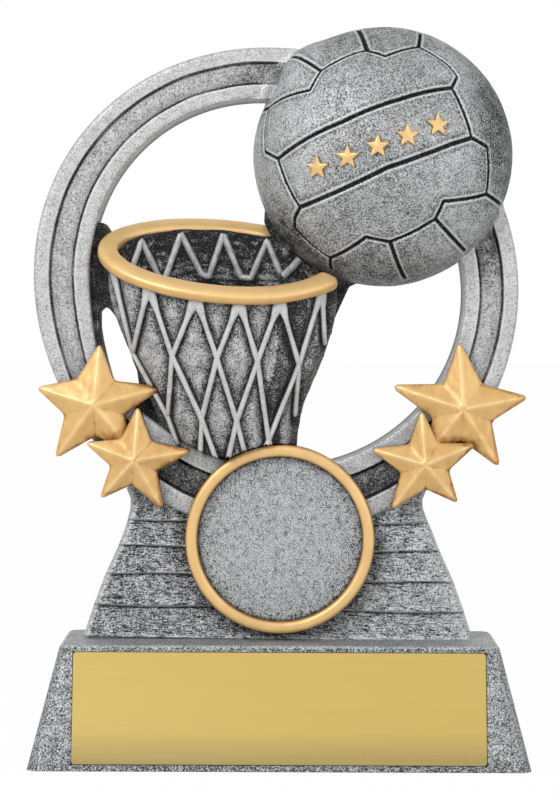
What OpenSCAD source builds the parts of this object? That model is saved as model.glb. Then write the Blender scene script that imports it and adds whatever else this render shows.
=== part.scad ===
// Netball award: a relief figure of a ball dropping into a net, inside an open arch with stars,
// standing on a lapped pedestal and a tapered plinth. Millimetres, +Z up, the front faces -Y.
// The origin is on the resting face, under the middle of the plinth.

/* [Plinth] */
// Width of the plinth at its foot
plinth_w = 80.4; // [60:0.2:160]
// Depth of the plinth at its foot
plinth_d = 36; // [30:0.5:80]
// Height of the top of the plinth above the resting face
plinth_h = 19.7; // [19:0.1:26]
// Width of the plinth at its top
plinth_top_w = 70; // [66:0.5:160]
// Depth of the plinth at its top
plinth_top_d = 25; // [22:0.5:80]
// Radius of the plinth's upright corners
plinth_corner_r = 2; // [0.5:0.1:5]

/* [Felt pad] */
// Thickness of the felt pad under the plinth
felt_t = 1; // [0.5:0.1:2]
// How far the pad stands out below the plinth
felt_stand = 0.2; // [0.1:0.1:0.4]
// Rim of bare plinth left around the pad
felt_margin = 2.5; // [2:0.1:5]

/* [Nameplate] */
// Width of the nameplate
plate_w = 66; // [40:0.5:68]
// Height of the nameplate, measured along the sloping face
plate_h = 18; // [10:0.1:18.5]
// Thickness of the nameplate
plate_t = 0.6; // [0.3:0.1:1]
// Corner radius of the nameplate
plate_corner_r = 0.5; // [0.2:0.1:2]
// Thickness of the adhesive tape behind the nameplate
tape_t = 0.3; // [0.1:0.05:0.5]
// Margin of the tape inside the edge of the nameplate
tape_margin = 1; // [0.5:0.1:3]
// Depth of the recess that the nameplate lies in
plate_recess = 0.7; // [0.4:0.1:1]
// Clearance round the nameplate in its recess
plate_clearance = 0.1; // [0.05:0.05:0.3]

/* [Figure] */
// Distance of the flat back of the figure behind the middle of the plinth
back_y = 8; // [6:0.5:11]
// Distance of the arch's front behind the middle of the plinth
front_y = -3.2; // [-5:0.1:-2]

/* [Pedestal] */
// Width of the pedestal where it stands on the plinth
pedestal_w = 63.8; // [60:0.2:68]
// Height of the pedestal's shoulders above the plinth
pedestal_h = 24.5; // [23:0.1:30]
// Distance of the pedestal's front behind the middle of the plinth
pedestal_front_y = -1.4; // [-2:0.1:-1]
// How far the lower edge of each lapped course stands proud
course_lap = 0.9; // [0.3:0.1:1.5]

/* [Arch] */
// Mean radius of the arch's outer edge
arch_outer_r = 39.7; // [38:0.1:41]
// Mean width of the arch between its two edges
arch_band_w = 9.6; // [8:0.1:11]
// Distance of the arch's middle to the right of the plinth's middle
arch_x = -0.7; // [-2:0.1:2]
// Height of the middle of the arch's outer edge
arch_outer_z = 76.5; // [75.5:0.1:78]
// Height of the middle of the arch's inner edge
arch_inner_z = 77.4; // [76.5:0.1:78.5]
// Width of the raised rim along the outer edge
outer_rim_w = 2.4; // [1:0.1:3]
// Width of the raised rim along the inner edge
inner_rim_w = 2.1; // [1:0.1:3]
// Depth of the channel between the two rims
channel_depth = 0.8; // [0.3:0.1:1.5]

/* [Medallion] */
// Radius of the recess that takes a centre disc
recess_r = 13.4; // [12.5:0.1:14]
// Depth of the recess, up to where the rim starts to round over
recess_depth = 1.1; // [0.8:0.1:2]
// Width of the gold rim round the recess
medallion_rim_w = 2; // [1.5:0.1:2.5]
// Height of the middle of the medallion
medallion_z = 36.1; // [36:0.1:40]
// Thickness of the medallion's disc behind the recess
medallion_disc_t = 3; // [2:0.1:4]
// Distance of the back of that disc behind the middle of the plinth
medallion_back_y = -0.6; // [-1:0.1:0]

/* [Hoop] */
// Width of the hoop, on the middle of its rim
hoop_w = 37.2; // [34:0.1:40]
// Depth of the hoop from front to back
hoop_d = 16; // [12:0.1:18]
// Height by which the back of the hoop is above its front
hoop_rise = 11.5; // [8:0.1:14]
// Height by which the left end of the hoop is above its right end
hoop_lean = 2.9; // [0:0.1:5]
// Distance of the hoop's left end, on the middle of its rim, inside the arch's inner edge
hoop_inset = 2.7; // [2:0.1:4]
// Distance of the hoop's middle behind the middle of the plinth
hoop_y = -4; // [-5:0.1:-3]
// Height of the middle of the hoop
hoop_z = 81.4; // [80:0.1:83]
// Half width of the rim's section, across the rim
hoop_rim_a = 1.8; // [1:0.1:2.2]
// Half height of the rim's section
hoop_rim_b = 1.1; // [0.8:0.1:1.6]

/* [Net] */
// Height of the foot of the net
net_foot_z = 46.5; // [45:0.1:47.5]
// Thickness of the wall round the net's hollow
net_wall = 1.7; // [1.2:0.1:2.5]
// Radius of a net cord
cord_r = 0.42; // [0.3:0.02:0.7]

/* [Ball] */
// Radius of the ball
ball_r = 21.2; // [20:0.1:23]
// Depth of the ball in front of its widest section
ball_depth = 15; // [11:0.1:16]
// Distance of the ball's middle to the right of the plinth's middle
ball_x = 16.8; // [16:0.1:19]
// Distance of the ball's widest section behind the middle of the plinth
ball_y = -2; // [-3:0.1:0]
// Height of the middle of the ball
ball_z = 98.3; // [97:0.1:100]
// Width of the seams between the ball's panels
seam_w = 0.5; // [0.3:0.05:0.8]
// Depth of the seams
seam_depth = 0.45; // [0.2:0.05:0.8]
// Outer radius of the small stars on the ball's band
band_star_r = 1.9; // [1:0.1:2.5]
// Height of the small stars above the ball
band_star_h = 0.6; // [0.3:0.1:1]

/* [Stars] */
// Outer radius of the large stars
large_star_r = 10.2; // [8:0.1:11]
// Outer radius of the small stars
small_star_r = 8.45; // [6:0.1:9]
// Height of a large star's edge in front of the arch
large_star_edge = 1.7; // [1:0.1:3]
// Height of a small star's edge in front of the arch
small_star_edge = 2.8; // [2:0.1:4]
// Height of a star's middle above its edge
star_crown = 2.4; // [1:0.1:4]
// Height of the middle of the left large star
left_large_z = 57.7; // [56:0.1:60]
// Distance of that star to the right of the plinth's middle
left_large_x = -30.2; // [-32:0.1:-28]
// Height of the middle of the left small star
left_small_z = 48.8; // [47:0.1:50]
// Distance of that star to the right of the plinth's middle
left_small_x = -23.6; // [-25:0.1:-22]
// Height of the middle of the right large star
right_large_z = 57.3; // [56:0.1:60]
// Distance of that star to the right of the plinth's middle
right_large_x = 29.6; // [28:0.1:31]
// Height of the middle of the right small star
right_small_z = 48.3; // [47:0.1:50]
// Distance of that star to the right of the plinth's middle
right_small_x = 23.4; // [22:0.1:25]

/* [Hidden] */
$fn = 72;

silver = [0.62, 0.63, 0.64];
dark_silver = [0.3, 0.3, 0.31];
gold = [0.87, 0.69, 0.4];

// Every cut runs past the face that it opens by this much
overrun = 1;
// Thickness of the slices that a hull joins
slice = 0.01;

plinth_foot_z = felt_stand;
plinth_body_h = plinth_h - plinth_foot_z;
face_slope = atan((plinth_d - plinth_top_d) / 2 / plinth_body_h);
face_mid_y = -(plinth_d + plinth_top_d) / 4;
face_mid_z = plinth_foot_z + plinth_body_h / 2;

arch_inner_r = arch_outer_r - arch_band_w;
hoop_x = arch_x - arch_inner_r + hoop_inset + hoop_w / 2;

medallion_r = recess_r + medallion_rim_w;
medallion_floor_y = medallion_back_y - medallion_disc_t;

// How far the arch's edges are from round: the share that two sides are drawn out by and their
// direction, then the same for three sides
arch_outer_shape = [0.016, -50, 0.0095, 26];
arch_inner_shape = [0.03, -37, 0.007, 0];

// Half width of the pedestal against height, both as shares: it draws in and flares at the arch
pedestal_side_shares = [[1, 0], [0.948, 0.21], [0.895, 0.4], [0.825, 0.6], [0.772, 0.78],
    [0.75, 0.87], [0.748, 0.93], [0.77, 1]];
// Heights of the laps between the courses
course_shares = [0, 0.215, 0.432, 0.618, 0.79, 1];

// The net's form: height, half width, shift to the right, half depth and shift to the back.
// Heights are shares of the net's height, the rest of the hoop's half width or half depth.
net_form_shares = [
    [0, 0.5, 0.135, 0.78, 0.52],
    [0.2, 0.6, 0.08, 0.85, 0.38],
    [0.35, 0.7, 0.03, 0.9, 0.28],
    [0.5, 0.81, 0.01, 0.94, 0.2],
    [0.65, 0.89, 0.025, 0.975, 0.12],
    [0.8, 0.97, 0.005, 0.98, 0.05],
    [0.955, 0.98, 0, 0.98, 0]
];
// The hollow follows these rows of the form
net_hollow_rows = [3, 4, 5];
net_sides = 42;

// Where the cords meet: angles round the net, and heights as shares, at the rim, the upper
// knots, the lower knots and the foot
rim_angles = [190, 230, 257, 279, 301, 332];
knot_angles = [195, 236, 266, 289, 319, 347];
knot_height_shares = [0.57, 0.63, 0.65, 0.64, 0.6, 0.66];
low_knot_angles = [213, 250, 278, 306, 340];
low_knot_height_shares = [0.29, 0.31, 0.31, 0.2, 0.3];
left_foot_angles = [232, 260, 291];
right_foot_angles = [212, 255, 284, 320];
cord_foot_share = 0.03;
cord_rim_share = 0.97;
cord_sides = 6;
cord_steps = 4;
inside_cord_angles = [158, 144, 128, 114, 99, 90, 77, 64, 52];
inside_low_share = 0.76;
inside_high_share = 0.96;

// The rim starts and ends at these angles, where the ball and its web cut it off
hoop_start = 62;
hoop_end = 344;
hoop_steps = 52;
hoop_sides = 12;
// Size of the rim's section at the back of the hoop, as a share of that at the front
hoop_back_share = 0.72;

// Filler between the arch and the left end of the hoop, and between the net and the ball
left_web_shares = [[-0.15, 0.3], [-0.016, 0.3], [0.06, 0.31], [0.04, 0], [0.1, -0.3],
    [0.13, -0.7], [0.12, -0.9], [0.073, -0.71], [0.032, -0.5], [0.003, -0.43], [-0.02, -0.414],
    [-0.04, -0.455], [-0.035, -0.6], [-0.02, -0.715], [0.005, -0.89], [0.045, -1.1],
    [0, -1.2], [-0.15, -0.9]];
ball_web_shares = [[0.694, 0.37], [0.9, 0.5], [1.2, 0.03], [1.1, -0.2], [1.065, -0.24],
    [1.024, -0.414], [0.987, -0.57], [0.984, -0.634], [0.957, -0.72], [0.9, -0.75], [0.9, -0.5],
    [0.92, -0.2], [0.897, -0.08], [0.844, 0.011], [0.777, 0.116], [0.72, 0.29]];
web_front_y = -1.5;

// The ball's panels and small stars are laid out as seen from this spot in front of the part
seen_from = [0, -509, 73.3];
// Corners of the ball's panels, right and up from its middle as shares of its radius
seam_corner_shares = [
    [-0.816, -0.018], [-0.571, 0.122], [-0.313, 0.273], [-0.112, 0.374], [0.117, 0.445],
    [0.317, 0.495], [0.533, 0.538],
    [-0.643, -0.394], [-0.313, -0.236], [0.031, -0.085], [0.318, 0.036], [0.533, 0.101],
    [0.69, 0.151],
    [-0.916, 0.037], [-0.894, 0.374], [-0.571, 0.516], [-0.485, 0.667], [-0.198, 0.811],
    [-0.127, 0.825], [0.016, 0.782], [0.274, 0.853], [0.504, 0.71], [0.575, 0.624],
    [-0.686, -0.48], [-0.686, -0.551], [-0.407, -0.788], [-0.127, -0.623], [0.06, -0.659],
    [0.411, -0.48], [0.475, -0.343], [0.805, -0.286], [0.812, 0.079],
    [-0.955, 0.358], [-0.67, 0.735], [-0.19, 0.965], [0.29, 0.94], [-0.4, -0.88],
    [0.18, -0.95], [0.645, -0.73], [0.93, -0.39]
];
// Each seam runs through these corners
seam_runs = [
    [0, 2, 4, 6], [7, 9, 11, 12], [0, 7], [6, 12],
    [0, 13, 14, 15, 16, 17, 18, 19, 20, 21, 22, 6],
    [7, 23, 24, 25, 26, 27, 28, 29, 30, 31, 12],
    [14, 32], [16, 33], [18, 34], [20, 35], [25, 36], [27, 37], [28, 38], [30, 39]
];
// The row of small stars on the ball's band, from its first to its last, and their number
band_start_share = [-0.5, -0.085];
band_end_share = [0.42, 0.245];
band_star_count = 5;
star_notch_share = 0.46;

// Tips of each star, right and up from its middle as shares of its radius, clockwise from the top
left_large_tips = [[0.08, 0.94], [1.02, 0.27], [0.62, -0.72], [-0.59, -0.78], [-0.88, 0.26]];
left_small_tips = [[0.06, 0.98], [1.04, 0.17], [0.52, -0.9], [-0.63, -0.71], [-0.9, 0.31]];
right_large_tips = [[-0.06, 1.02], [0.99, 0.16], [0.56, -0.88], [-0.6, -0.78], [-1.07, 0.34]];
right_small_tips = [[-0.06, 0.98], [0.94, 0.37], [0.61, -0.71], [-0.6, -0.83], [-0.98, 0.27]];
band_star_tips = [for (i = [0:4]) [sin(i * 72), cos(i * 72)]];
large_notch_share = 0.5;
small_notch_share = 0.48;

// Turns a flat outline in X and Z into a slab between two distances behind the middle
module slab(from_y, to_y) {
    translate([0, to_y, 0]) rotate([90, 0, 0]) linear_extrude(to_y - from_y) children();
}

module rounded_plate(w, d, h, r) {
    hull() {
        for (x = [-1, 1], y = [-1, 1]) {
            translate([x * (w / 2 - r), y * (d / 2 - r), 0]) cylinder(h = h, r = r, $fn = 32);
        }
    }
}

// Joins two rings of as many points into a closed skin
module skin(rings) {
    sides = len(rings[0]);
    polyhedron(points = concat(rings[0], rings[1]), faces = concat(
        [[for (i = [0:sides - 1]) i]],
        [for (i = [0:sides - 1]) [i, sides + i, (i + 1) % sides]],
        [for (i = [0:sides - 1]) [(i + 1) % sides, sides + i, sides + (i + 1) % sides]],
        [[for (i = [sides - 1:-1:0]) sides + i]]
    ));
}

// A form that runs from ring to ring, each of them flat and convex
module loft(rings) {
    for (k = [0:len(rings) - 2]) {
        hull() skin([rings[k], rings[k + 1]]);
    }
}

function unit(v) = v / norm(v);

// A point on the net, at an angle round it and a height share, lifted off its surface
function form(height, column) = lookup(height, [for (row = net_form_shares) [row[0], row[column]]]);
function net_point(angle, height, lift = 0) = [
    hoop_x + (form(height, 1) * cos(angle) + form(height, 2)) * hoop_w / 2 + lift * cos(angle),
    hoop_y + (form(height, 3) * sin(angle) + form(height, 4)) * hoop_d / 2 + lift * sin(angle),
    net_foot_z + height * (hoop_z - net_foot_z)
        + height * (hoop_rise * sin(angle) - hoop_lean * cos(angle)) / 2
];
function net_ring(height, lift = 0, up = 0) = [
    for (i = [0:net_sides - 1]) net_point(i * 360 / net_sides, height, lift) + [0, 0, up]
];

// A tube along a path of points, with a ring square to the path at each of them
function path_way(path, i) =
    unit(path[min(i + 1, len(path) - 1)] - path[max(i - 1, 0)]);
function tube_ring(path, i, radius, sides) =
    let (way = path_way(path, i), side = unit(cross(way, [0, 1, 0])), out = cross(way, side))
    [for (k = [0:sides - 1]) path[i]
        + radius * (side * cos(k * 360 / sides) + out * sin(k * 360 / sides))];
module tube(path, radius, sides) {
    loft([for (i = [0:len(path) - 1]) tube_ring(path, i, radius, sides)]);
}

// Places between knots, each an angle and a height share
function between(knots) = [
    for (k = [0:len(knots) - 2], i = [0:cord_steps - 1])
        knots[k] + (knots[k + 1] - knots[k]) * i / cord_steps,
    knots[len(knots) - 1]
];

// An edge of the arch: a circle that is drawn out a little at two sides and at three
module arch_edge(z, r, shape, off) {
    polygon([for (a = [0:5:355]) [arch_x, z] + [cos(a), sin(a)] * (off + r * (
        1 + shape[0] * cos(2 * (a - shape[1])) + shape[2] * cos(3 * (a - shape[3]))))]);
}
module arch_outer(off = 0) {
    arch_edge(arch_outer_z, arch_outer_r, arch_outer_shape, off);
}
module arch_inner(off = 0) {
    arch_edge(arch_inner_z, arch_inner_r, arch_inner_shape, off);
}

module ball_form() {
    translate([ball_x, ball_y, ball_z]) scale([1, ball_depth / ball_r, 1]) sphere(r = ball_r);
}

module felt_pad() {
    color("dimgray") rounded_plate(plinth_w - 2 * felt_margin, plinth_d - 2 * felt_margin, felt_t,
        plinth_corner_r);
}

module plinth() {
    color(silver) difference() {
        hull() {
            translate([0, 0, plinth_foot_z])
                rounded_plate(plinth_w, plinth_d, slice, plinth_corner_r);
            translate([0, 0, plinth_h - slice])
                rounded_plate(plinth_top_w, plinth_top_d, slice, plinth_corner_r);
        }
        felt_pad();
        on_face(-plate_recess) rounded_plate(plate_w + 2 * plate_clearance,
            plate_h + 2 * plate_clearance, plate_recess + overrun, plate_corner_r);
    }
}

// A flat sheet that lies on the sloping front face, this far off it
module on_face(off) {
    translate([0, face_mid_y, face_mid_z]) rotate([90 - face_slope, 0, 0])
        translate([0, 0, off]) children();
}

module nameplate_tape() {
    color("white") on_face(-plate_recess)
        rounded_plate(plate_w - 2 * tape_margin, plate_h - 2 * tape_margin, tape_t,
            plate_corner_r);
}

module nameplate() {
    color([0.84, 0.74, 0.43]) on_face(tape_t - plate_recess)
        rounded_plate(plate_w, plate_h, plate_t, plate_corner_r);
}

module pedestal_outline() {
    side = [for (s = pedestal_side_shares)
        [s[0] * pedestal_w / 2, plinth_h + s[1] * pedestal_h]];
    polygon(concat(side, [for (i = [len(side) - 1:-1:0]) [-side[i][0], side[i][1]]]));
}

// Seen from the side, each course leans forward to its lower edge
module pedestal_profile() {
    polygon(concat(
        [[back_y, plinth_h], [back_y, plinth_h + pedestal_h]],
        [for (i = [len(course_shares) - 1:-1:1], foot = [0, 1]) [
            pedestal_front_y - foot * course_lap,
            plinth_h + course_shares[i - foot] * pedestal_h
        ]]
    ));
}

module pedestal() {
    color(silver) difference() {
        intersection() {
            slab(pedestal_front_y - course_lap - overrun, back_y) pedestal_outline();
            rotate([90, 0, 90]) translate([0, 0, -pedestal_w / 2])
                linear_extrude(pedestal_w) pedestal_profile();
        }
        slab(pedestal_front_y - course_lap - overrun, back_y + overrun)
            arch_outer();
        medallion_seat();
    }
}

// The space that the medallion takes out of what is behind it
module medallion_seat() {
    slab(medallion_floor_y - medallion_r, medallion_back_y)
        translate([0, medallion_z]) circle(r = medallion_r);
}

module arch() {
    color(silver) difference() {
        union() {
            slab(front_y + channel_depth, back_y) difference() {
                arch_outer();
                arch_inner();
            }
            slab(front_y, front_y + channel_depth) difference() {
                arch_outer();
                arch_outer(-outer_rim_w);
            }
            slab(front_y, front_y + channel_depth) difference() {
                arch_inner(inner_rim_w);
                arch_inner();
            }
        }
        ball_form();
        medallion_seat();
    }
}

module net_form() {
    loft([for (row = net_form_shares) net_ring(row[0])]);
}

module net_basket() {
    color(dark_silver) difference() {
        intersection() {
            net_form();
            slab(hoop_y - hoop_d, back_y + overrun) arch_inner();
        }
        loft(concat(
            [for (k = net_hollow_rows) net_ring(net_form_shares[k][0], -net_wall)],
            [net_ring(1, -net_wall, overrun)]
        ));
        ball_form();
        medallion_seat();
        left_star_seats();
    }
}

module cord(knots) {
    tube([for (place = between(knots)) net_point(place[0], place[1])], cord_r, cord_sides);
}

module net_cords_front() {
    color([0.72, 0.73, 0.74]) difference() {
        union() {
            for (i = [1:5]) {
                cord(concat(
                    [[rim_angles[i], cord_rim_share], [knot_angles[i - 1], knot_height_shares[i - 1]]],
                    i > 1 ? [[low_knot_angles[i - 2], low_knot_height_shares[i - 2]]] : [],
                    i > 2 ? [[left_foot_angles[i - 3], cord_foot_share]] : []
                ));
            }
            for (i = [0:5]) {
                cord(concat(
                    [[rim_angles[i], cord_rim_share], [knot_angles[i], knot_height_shares[i]]],
                    i < 5 ? [[low_knot_angles[i], low_knot_height_shares[i]]] : [],
                    i < 4 ? [[right_foot_angles[i], cord_foot_share]] : []
                ));
            }
        }
        net_form();
        hoop_tube();
        medallion_seat();
        left_star_seats();
        slab(hoop_y - hoop_d, back_y) difference() {
            arch_outer();
            arch_inner();
        }
    }
}

module net_cords_inside() {
    color([0.72, 0.73, 0.74]) difference() {
        tube([for (k = [0:len(inside_cord_angles) - 1])
            net_point(inside_cord_angles[k], k % 2 == 0 ? inside_low_share : inside_high_share,
                -net_wall)], cord_r, cord_sides);
        hoop_tube();
    }
}

// The rim's section, across and along the axis of the hoop, at an angle round it
function hoop_point(angle) = [
    hoop_x + hoop_w / 2 * cos(angle),
    hoop_y + hoop_d / 2 * sin(angle),
    hoop_z + (hoop_rise * sin(angle) - hoop_lean * cos(angle)) / 2
];
hoop_axis = unit(cross([hoop_w, 0, -hoop_lean], [0, hoop_d, hoop_rise]));
function hoop_size(angle) = (1 + hoop_back_share) / 2 - (1 - hoop_back_share) / 2 * sin(angle);
function hoop_ring(angle) =
    let (
        way = unit([-hoop_w * sin(angle), hoop_d * cos(angle),
            hoop_rise * cos(angle) + hoop_lean * sin(angle)]),
        out = cross(hoop_axis, way)
    )
    [for (k = [0:hoop_sides - 1]) hoop_point(angle) + hoop_size(angle) * (
        out * hoop_rim_a * cos(k * 360 / hoop_sides)
        + hoop_axis * hoop_rim_b * sin(k * 360 / hoop_sides))];

module hoop_tube() {
    loft([for (i = [0:hoop_steps])
        hoop_ring(hoop_start + (hoop_end - hoop_start) * i / hoop_steps)]);
}

module hoop_rim() {
    color(gold) hoop_tube();
}

module web(shares) {
    slab(web_front_y, back_y - slice) polygon([for (s = shares)
        [hoop_x - hoop_w / 2 + s[0] * hoop_w, hoop_z + s[1] * hoop_w / 2]]);
}

module left_web() {
    color(dark_silver) difference() {
        intersection() {
            web(left_web_shares);
            slab(web_front_y - overrun, back_y + overrun) arch_inner();
        }
        net_form();
        hoop_tube();
    }
}

module ball_web() {
    color(dark_silver) difference() {
        web(ball_web_shares);
        net_form();
        hoop_tube();
        ball_form();
    }
}

// Where the line of sight through a share right and up of the ball's middle meets the ball, as
// a place on a sphere of radius 1
function on_ball(share) =
    let (
        start = in_ball(seen_from),
        way = in_ball([ball_x + ball_r * share[0], ball_y, ball_z + ball_r * share[1]]) - start,
        half = start * way,
        spread = max(0, half ^ 2 - way * way * (start * start - 1))
    )
    unit(start - way * (half + sqrt(spread)) / (way * way));
function in_ball(p) =
    [(p[0] - ball_x) / ball_r, (p[1] - ball_y) / ball_depth, (p[2] - ball_z) / ball_r];

// Turns a piece made along X and Z so that X points at from and Y lies toward to
module lay_along(from, to) {
    z = unit(cross(from, to));
    y = cross(z, from);
    multmatrix([
        [from[0], y[0], z[0], 0],
        [from[1], y[1], z[1], 0],
        [from[2], y[2], z[2], 0],
        [0, 0, 0, 1]
    ]) children();
}

// A seam is cut along the great circle between two corners, and a little past both
module seam(from, to) {
    past = asin(seam_w / 2 / ball_r);
    lay_along(from, to) rotate([0, 0, -past]) rotate_extrude(angle = acos(from * to) + 2 * past)
        translate([ball_r - seam_depth, -seam_w / 2]) square([seam_depth + overrun, seam_w]);
}

// The ball is turned as a sphere with a flat back, cut, and then squashed from front to back
module ball() {
    squash = ball_depth / ball_r;
    back = (back_y - ball_y) / squash;
    color(silver) translate([ball_x, ball_y, ball_z]) scale([1, squash, 1]) difference() {
        rotate([90, 0, 0]) rotate_extrude() intersection() {
            circle(r = ball_r);
            translate([0, -back]) square([ball_r, back + ball_r]);
        }
        for (run = seam_runs, i = [0:len(run) - 2]) {
            seam(on_ball(seam_corner_shares[run[i]]), on_ball(seam_corner_shares[run[i + 1]]));
        }
    }
}

// The outline of a star: its tips, and a notch between each two of them
function star_rim(tips, outer_r, notch_share) = [
    for (i = [0:9]) outer_r * (i % 2 == 0 ? tips[i / 2]
        : notch_share * unit(unit(tips[(i - 1) / 2]) + unit(tips[(i + 1) / 2 % 5])))
];

// The stars stand square to the ball's surface
module ball_band_stars() {
    squash = ball_depth / ball_r;
    color(gold) for (i = [0:band_star_count - 1]) {
        place = on_ball(band_start_share
            + (band_end_share - band_start_share) * i / (band_star_count - 1));
        out = unit([place[0], place[1] / squash, place[2]]);
        translate([ball_x + ball_r * place[0], ball_y + ball_depth * place[1],
            ball_z + ball_r * place[2]])
            rotate([0, 0, atan2(out[0], -out[1])]) rotate([90 - asin(out[2]), 0, 0])
            linear_extrude(band_star_h)
                    polygon(star_rim(band_star_tips, band_star_r, star_notch_share));
    }
}

// A star with a ridge from its middle to each tip and a valley to each notch
module star(x, z, tips, outer_r, notch_share, edge) {
    rim = star_rim(tips, outer_r, notch_share);
    points = concat(
        [for (p = rim) [p[0], front_y, p[1]]],
        [for (p = rim) [p[0], front_y - edge, p[1]]],
        [[0, front_y - edge - star_crown, 0], [0, front_y, 0]]
    );
    translate([x, 0, z]) polyhedron(points = points, faces = concat(
        [for (i = [0:9]) [i, (i + 1) % 10, 10 + (i + 1) % 10, 10 + i]],
        [for (i = [0:9]) [10 + i, 10 + (i + 1) % 10, 20]],
        [for (i = [0:9]) [(i + 1) % 10, i, 21]]
    ));
}
module large_star(x, z, tips) {
    star(x, z, tips, large_star_r, large_notch_share, large_star_edge);
}
module small_star(x, z, tips) {
    star(x, z, tips, small_star_r, small_notch_share, small_star_edge);
}

// What a star takes out of the pieces that it lies over
module star_seat(x, z, tips, outer_r, notch_share, past = 0) {
    slab(front_y - large_star_edge - star_crown - overrun, front_y + past)
        translate([x, z]) polygon(star_rim(tips, outer_r, notch_share));
}
module left_star_seats() {
    star_seat(left_large_x, left_large_z, left_large_tips, large_star_r, large_notch_share);
    star_seat(left_small_x, left_small_z, left_small_tips, small_star_r, small_notch_share);
}

module star_left_large() {
    color(gold) difference() {
        large_star(left_large_x, left_large_z, left_large_tips);
        star_seat(left_small_x, left_small_z, left_small_tips, small_star_r, small_notch_share,
            overrun);
    }
}

module star_left_small() {
    color(gold) small_star(left_small_x, left_small_z, left_small_tips);
}

module star_right_large() {
    color(gold) difference() {
        large_star(right_large_x, right_large_z, right_large_tips);
        star_seat(right_small_x, right_small_z, right_small_tips, small_star_r,
            small_notch_share, overrun);
    }
}

module star_right_small() {
    color(gold) small_star(right_small_x, right_small_z, right_small_tips);
}

module medallion_disc() {
    color(silver) slab(medallion_floor_y, medallion_back_y)
        translate([0, medallion_z]) circle(r = medallion_r);
}

// The rim stands straight round the recess, then rounds over
module medallion_rim() {
    color(gold) translate([0, medallion_floor_y, medallion_z]) rotate([90, 0, 0])
        rotate_extrude() {
            translate([recess_r, 0]) square([medallion_rim_w, recess_depth]);
            translate([recess_r + medallion_rim_w / 2, recess_depth])
                circle(r = medallion_rim_w / 2);
        }
}

felt_pad();
plinth();
nameplate_tape();
nameplate();
pedestal();
arch();
left_web();
ball_web();
net_basket();
net_cords_front();
net_cords_inside();
hoop_rim();
ball();
ball_band_stars();
medallion_disc();
medallion_rim();
star_left_large();
star_left_small();
star_right_large();
star_right_small();
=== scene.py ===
import math

import bmesh
import bpy
import numpy as np
from mathutils import Matrix, Vector, noise


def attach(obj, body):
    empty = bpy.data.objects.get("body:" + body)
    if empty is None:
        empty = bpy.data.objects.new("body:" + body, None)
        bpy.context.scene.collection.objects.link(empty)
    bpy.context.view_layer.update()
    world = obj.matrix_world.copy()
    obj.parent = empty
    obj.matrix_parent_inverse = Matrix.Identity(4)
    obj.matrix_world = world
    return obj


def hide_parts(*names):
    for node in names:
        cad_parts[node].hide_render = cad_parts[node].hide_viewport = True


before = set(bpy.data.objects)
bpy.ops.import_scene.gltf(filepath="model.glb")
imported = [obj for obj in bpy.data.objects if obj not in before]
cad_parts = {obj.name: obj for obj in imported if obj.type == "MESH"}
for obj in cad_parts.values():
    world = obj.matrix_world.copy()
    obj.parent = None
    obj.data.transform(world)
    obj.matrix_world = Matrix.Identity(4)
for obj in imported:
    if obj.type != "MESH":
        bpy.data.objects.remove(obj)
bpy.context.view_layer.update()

MM = 0.001

# ---- sizes shared with the part ----
BACK_Y, FRONT_Y = 8.0, -3.2
PLINTH_FOOT, PLINTH_TOP, PLINTH_H, FELT_STAND = (80.4, 36.0), (70.5, 25.0), 19.7, 0.2
FELT_POCKET, FELT_MARGIN = 0.8, 2.5
PLATE, PLATE_T, TAPE_T, PLATE_POCKET = (66.0, 18.0), 0.6, 0.3, 0.7
PEDESTAL_W, PEDESTAL_H, PEDESTAL_FRONT, COURSE_LAP = 63.8, 24.5, -1.4, 0.9
# the pedestal's half width at each share of its height, and the courses' heights
PEDESTAL_SIDE = np.array([(0, 1), (0.21, 0.948), (0.4, 0.895), (0.6, 0.825), (0.78, 0.772),
                          (0.87, 0.75), (0.93, 0.748), (1, 0.77)])
COURSES = np.array([0, 0.215, 0.432, 0.618, 0.79, 1])
LAST_COURSE = len(COURSES) - 2
# it stands a little off the middle, and more so at its top
PEDESTAL_X, PEDESTAL_TOP_X = -0.28, -0.3
# each edge of the arch, inner then outer: mean radius, height of its middle, and how far it is
# drawn out at two sides and at three, each with its direction
ARCH_X, ARCH_EDGES = -0.83, [(30.2, 77.65, 0.03, -37, 0.007, 0),
                             (39.53, 76.78, 0.016, -50, 0.0095, 26)]
# the band is thinner beside the net: direction, spread in degrees, and share of the radius
THIN_AT, THIN_SPREAD, THIN_BY = 209, 16, 0.055
# the section of the arch from its outer edge inward: place across it, y, and rounding
ARCH_BAND, CHANNEL_Y = 8.8, -2.2
ARCH_SECTION = [
    (ARCH_BAND, BACK_Y, 0.3), (ARCH_BAND, FRONT_Y, 0.7), (6.38, FRONT_Y, 0.14),
    (6.3, CHANNEL_Y, 0.03), (6.14, CHANNEL_Y, 0.03), (5.9, -2.42, 0.05), (5.4, -2.55, 0.1),
    (4.3, -2.68, 0.5), (3.3, -2.55, 0.1), (2.85, -2.42, 0.05), (2.64, CHANNEL_Y, 0.03),
    (2.5, CHANNEL_Y, 0.03), (2.42, FRONT_Y, 0.14), (0.0, FRONT_Y, 0.5), (0.0, BACK_Y, 0.3)]
MEDAL_Z, RECESS_R, MEDAL_R = 36.25, 13.4, 15.4
MEDAL_BACK, MEDAL_FLOOR, MEDAL_FRONT = -0.62, -3.6, -5.6
HOOP, HOOP_W, HOOP_D, HOOP_RISE, HOOP_LEAN = (-9.5, -4.0, 81.58), 37.2, 16.0, 11.35, 2.9
# half the rim's width and half its thickness, where it starts and ends, and its size at the back
RIM_A, RIM_B, HOOP_START, HOOP_END, BACK_SHARE = 1.8, 1.1, 63, 342, 0.9
NET_FOOT, NET_WALL, NET_FLOOR = 46.5, 1.7, 0.49
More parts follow.
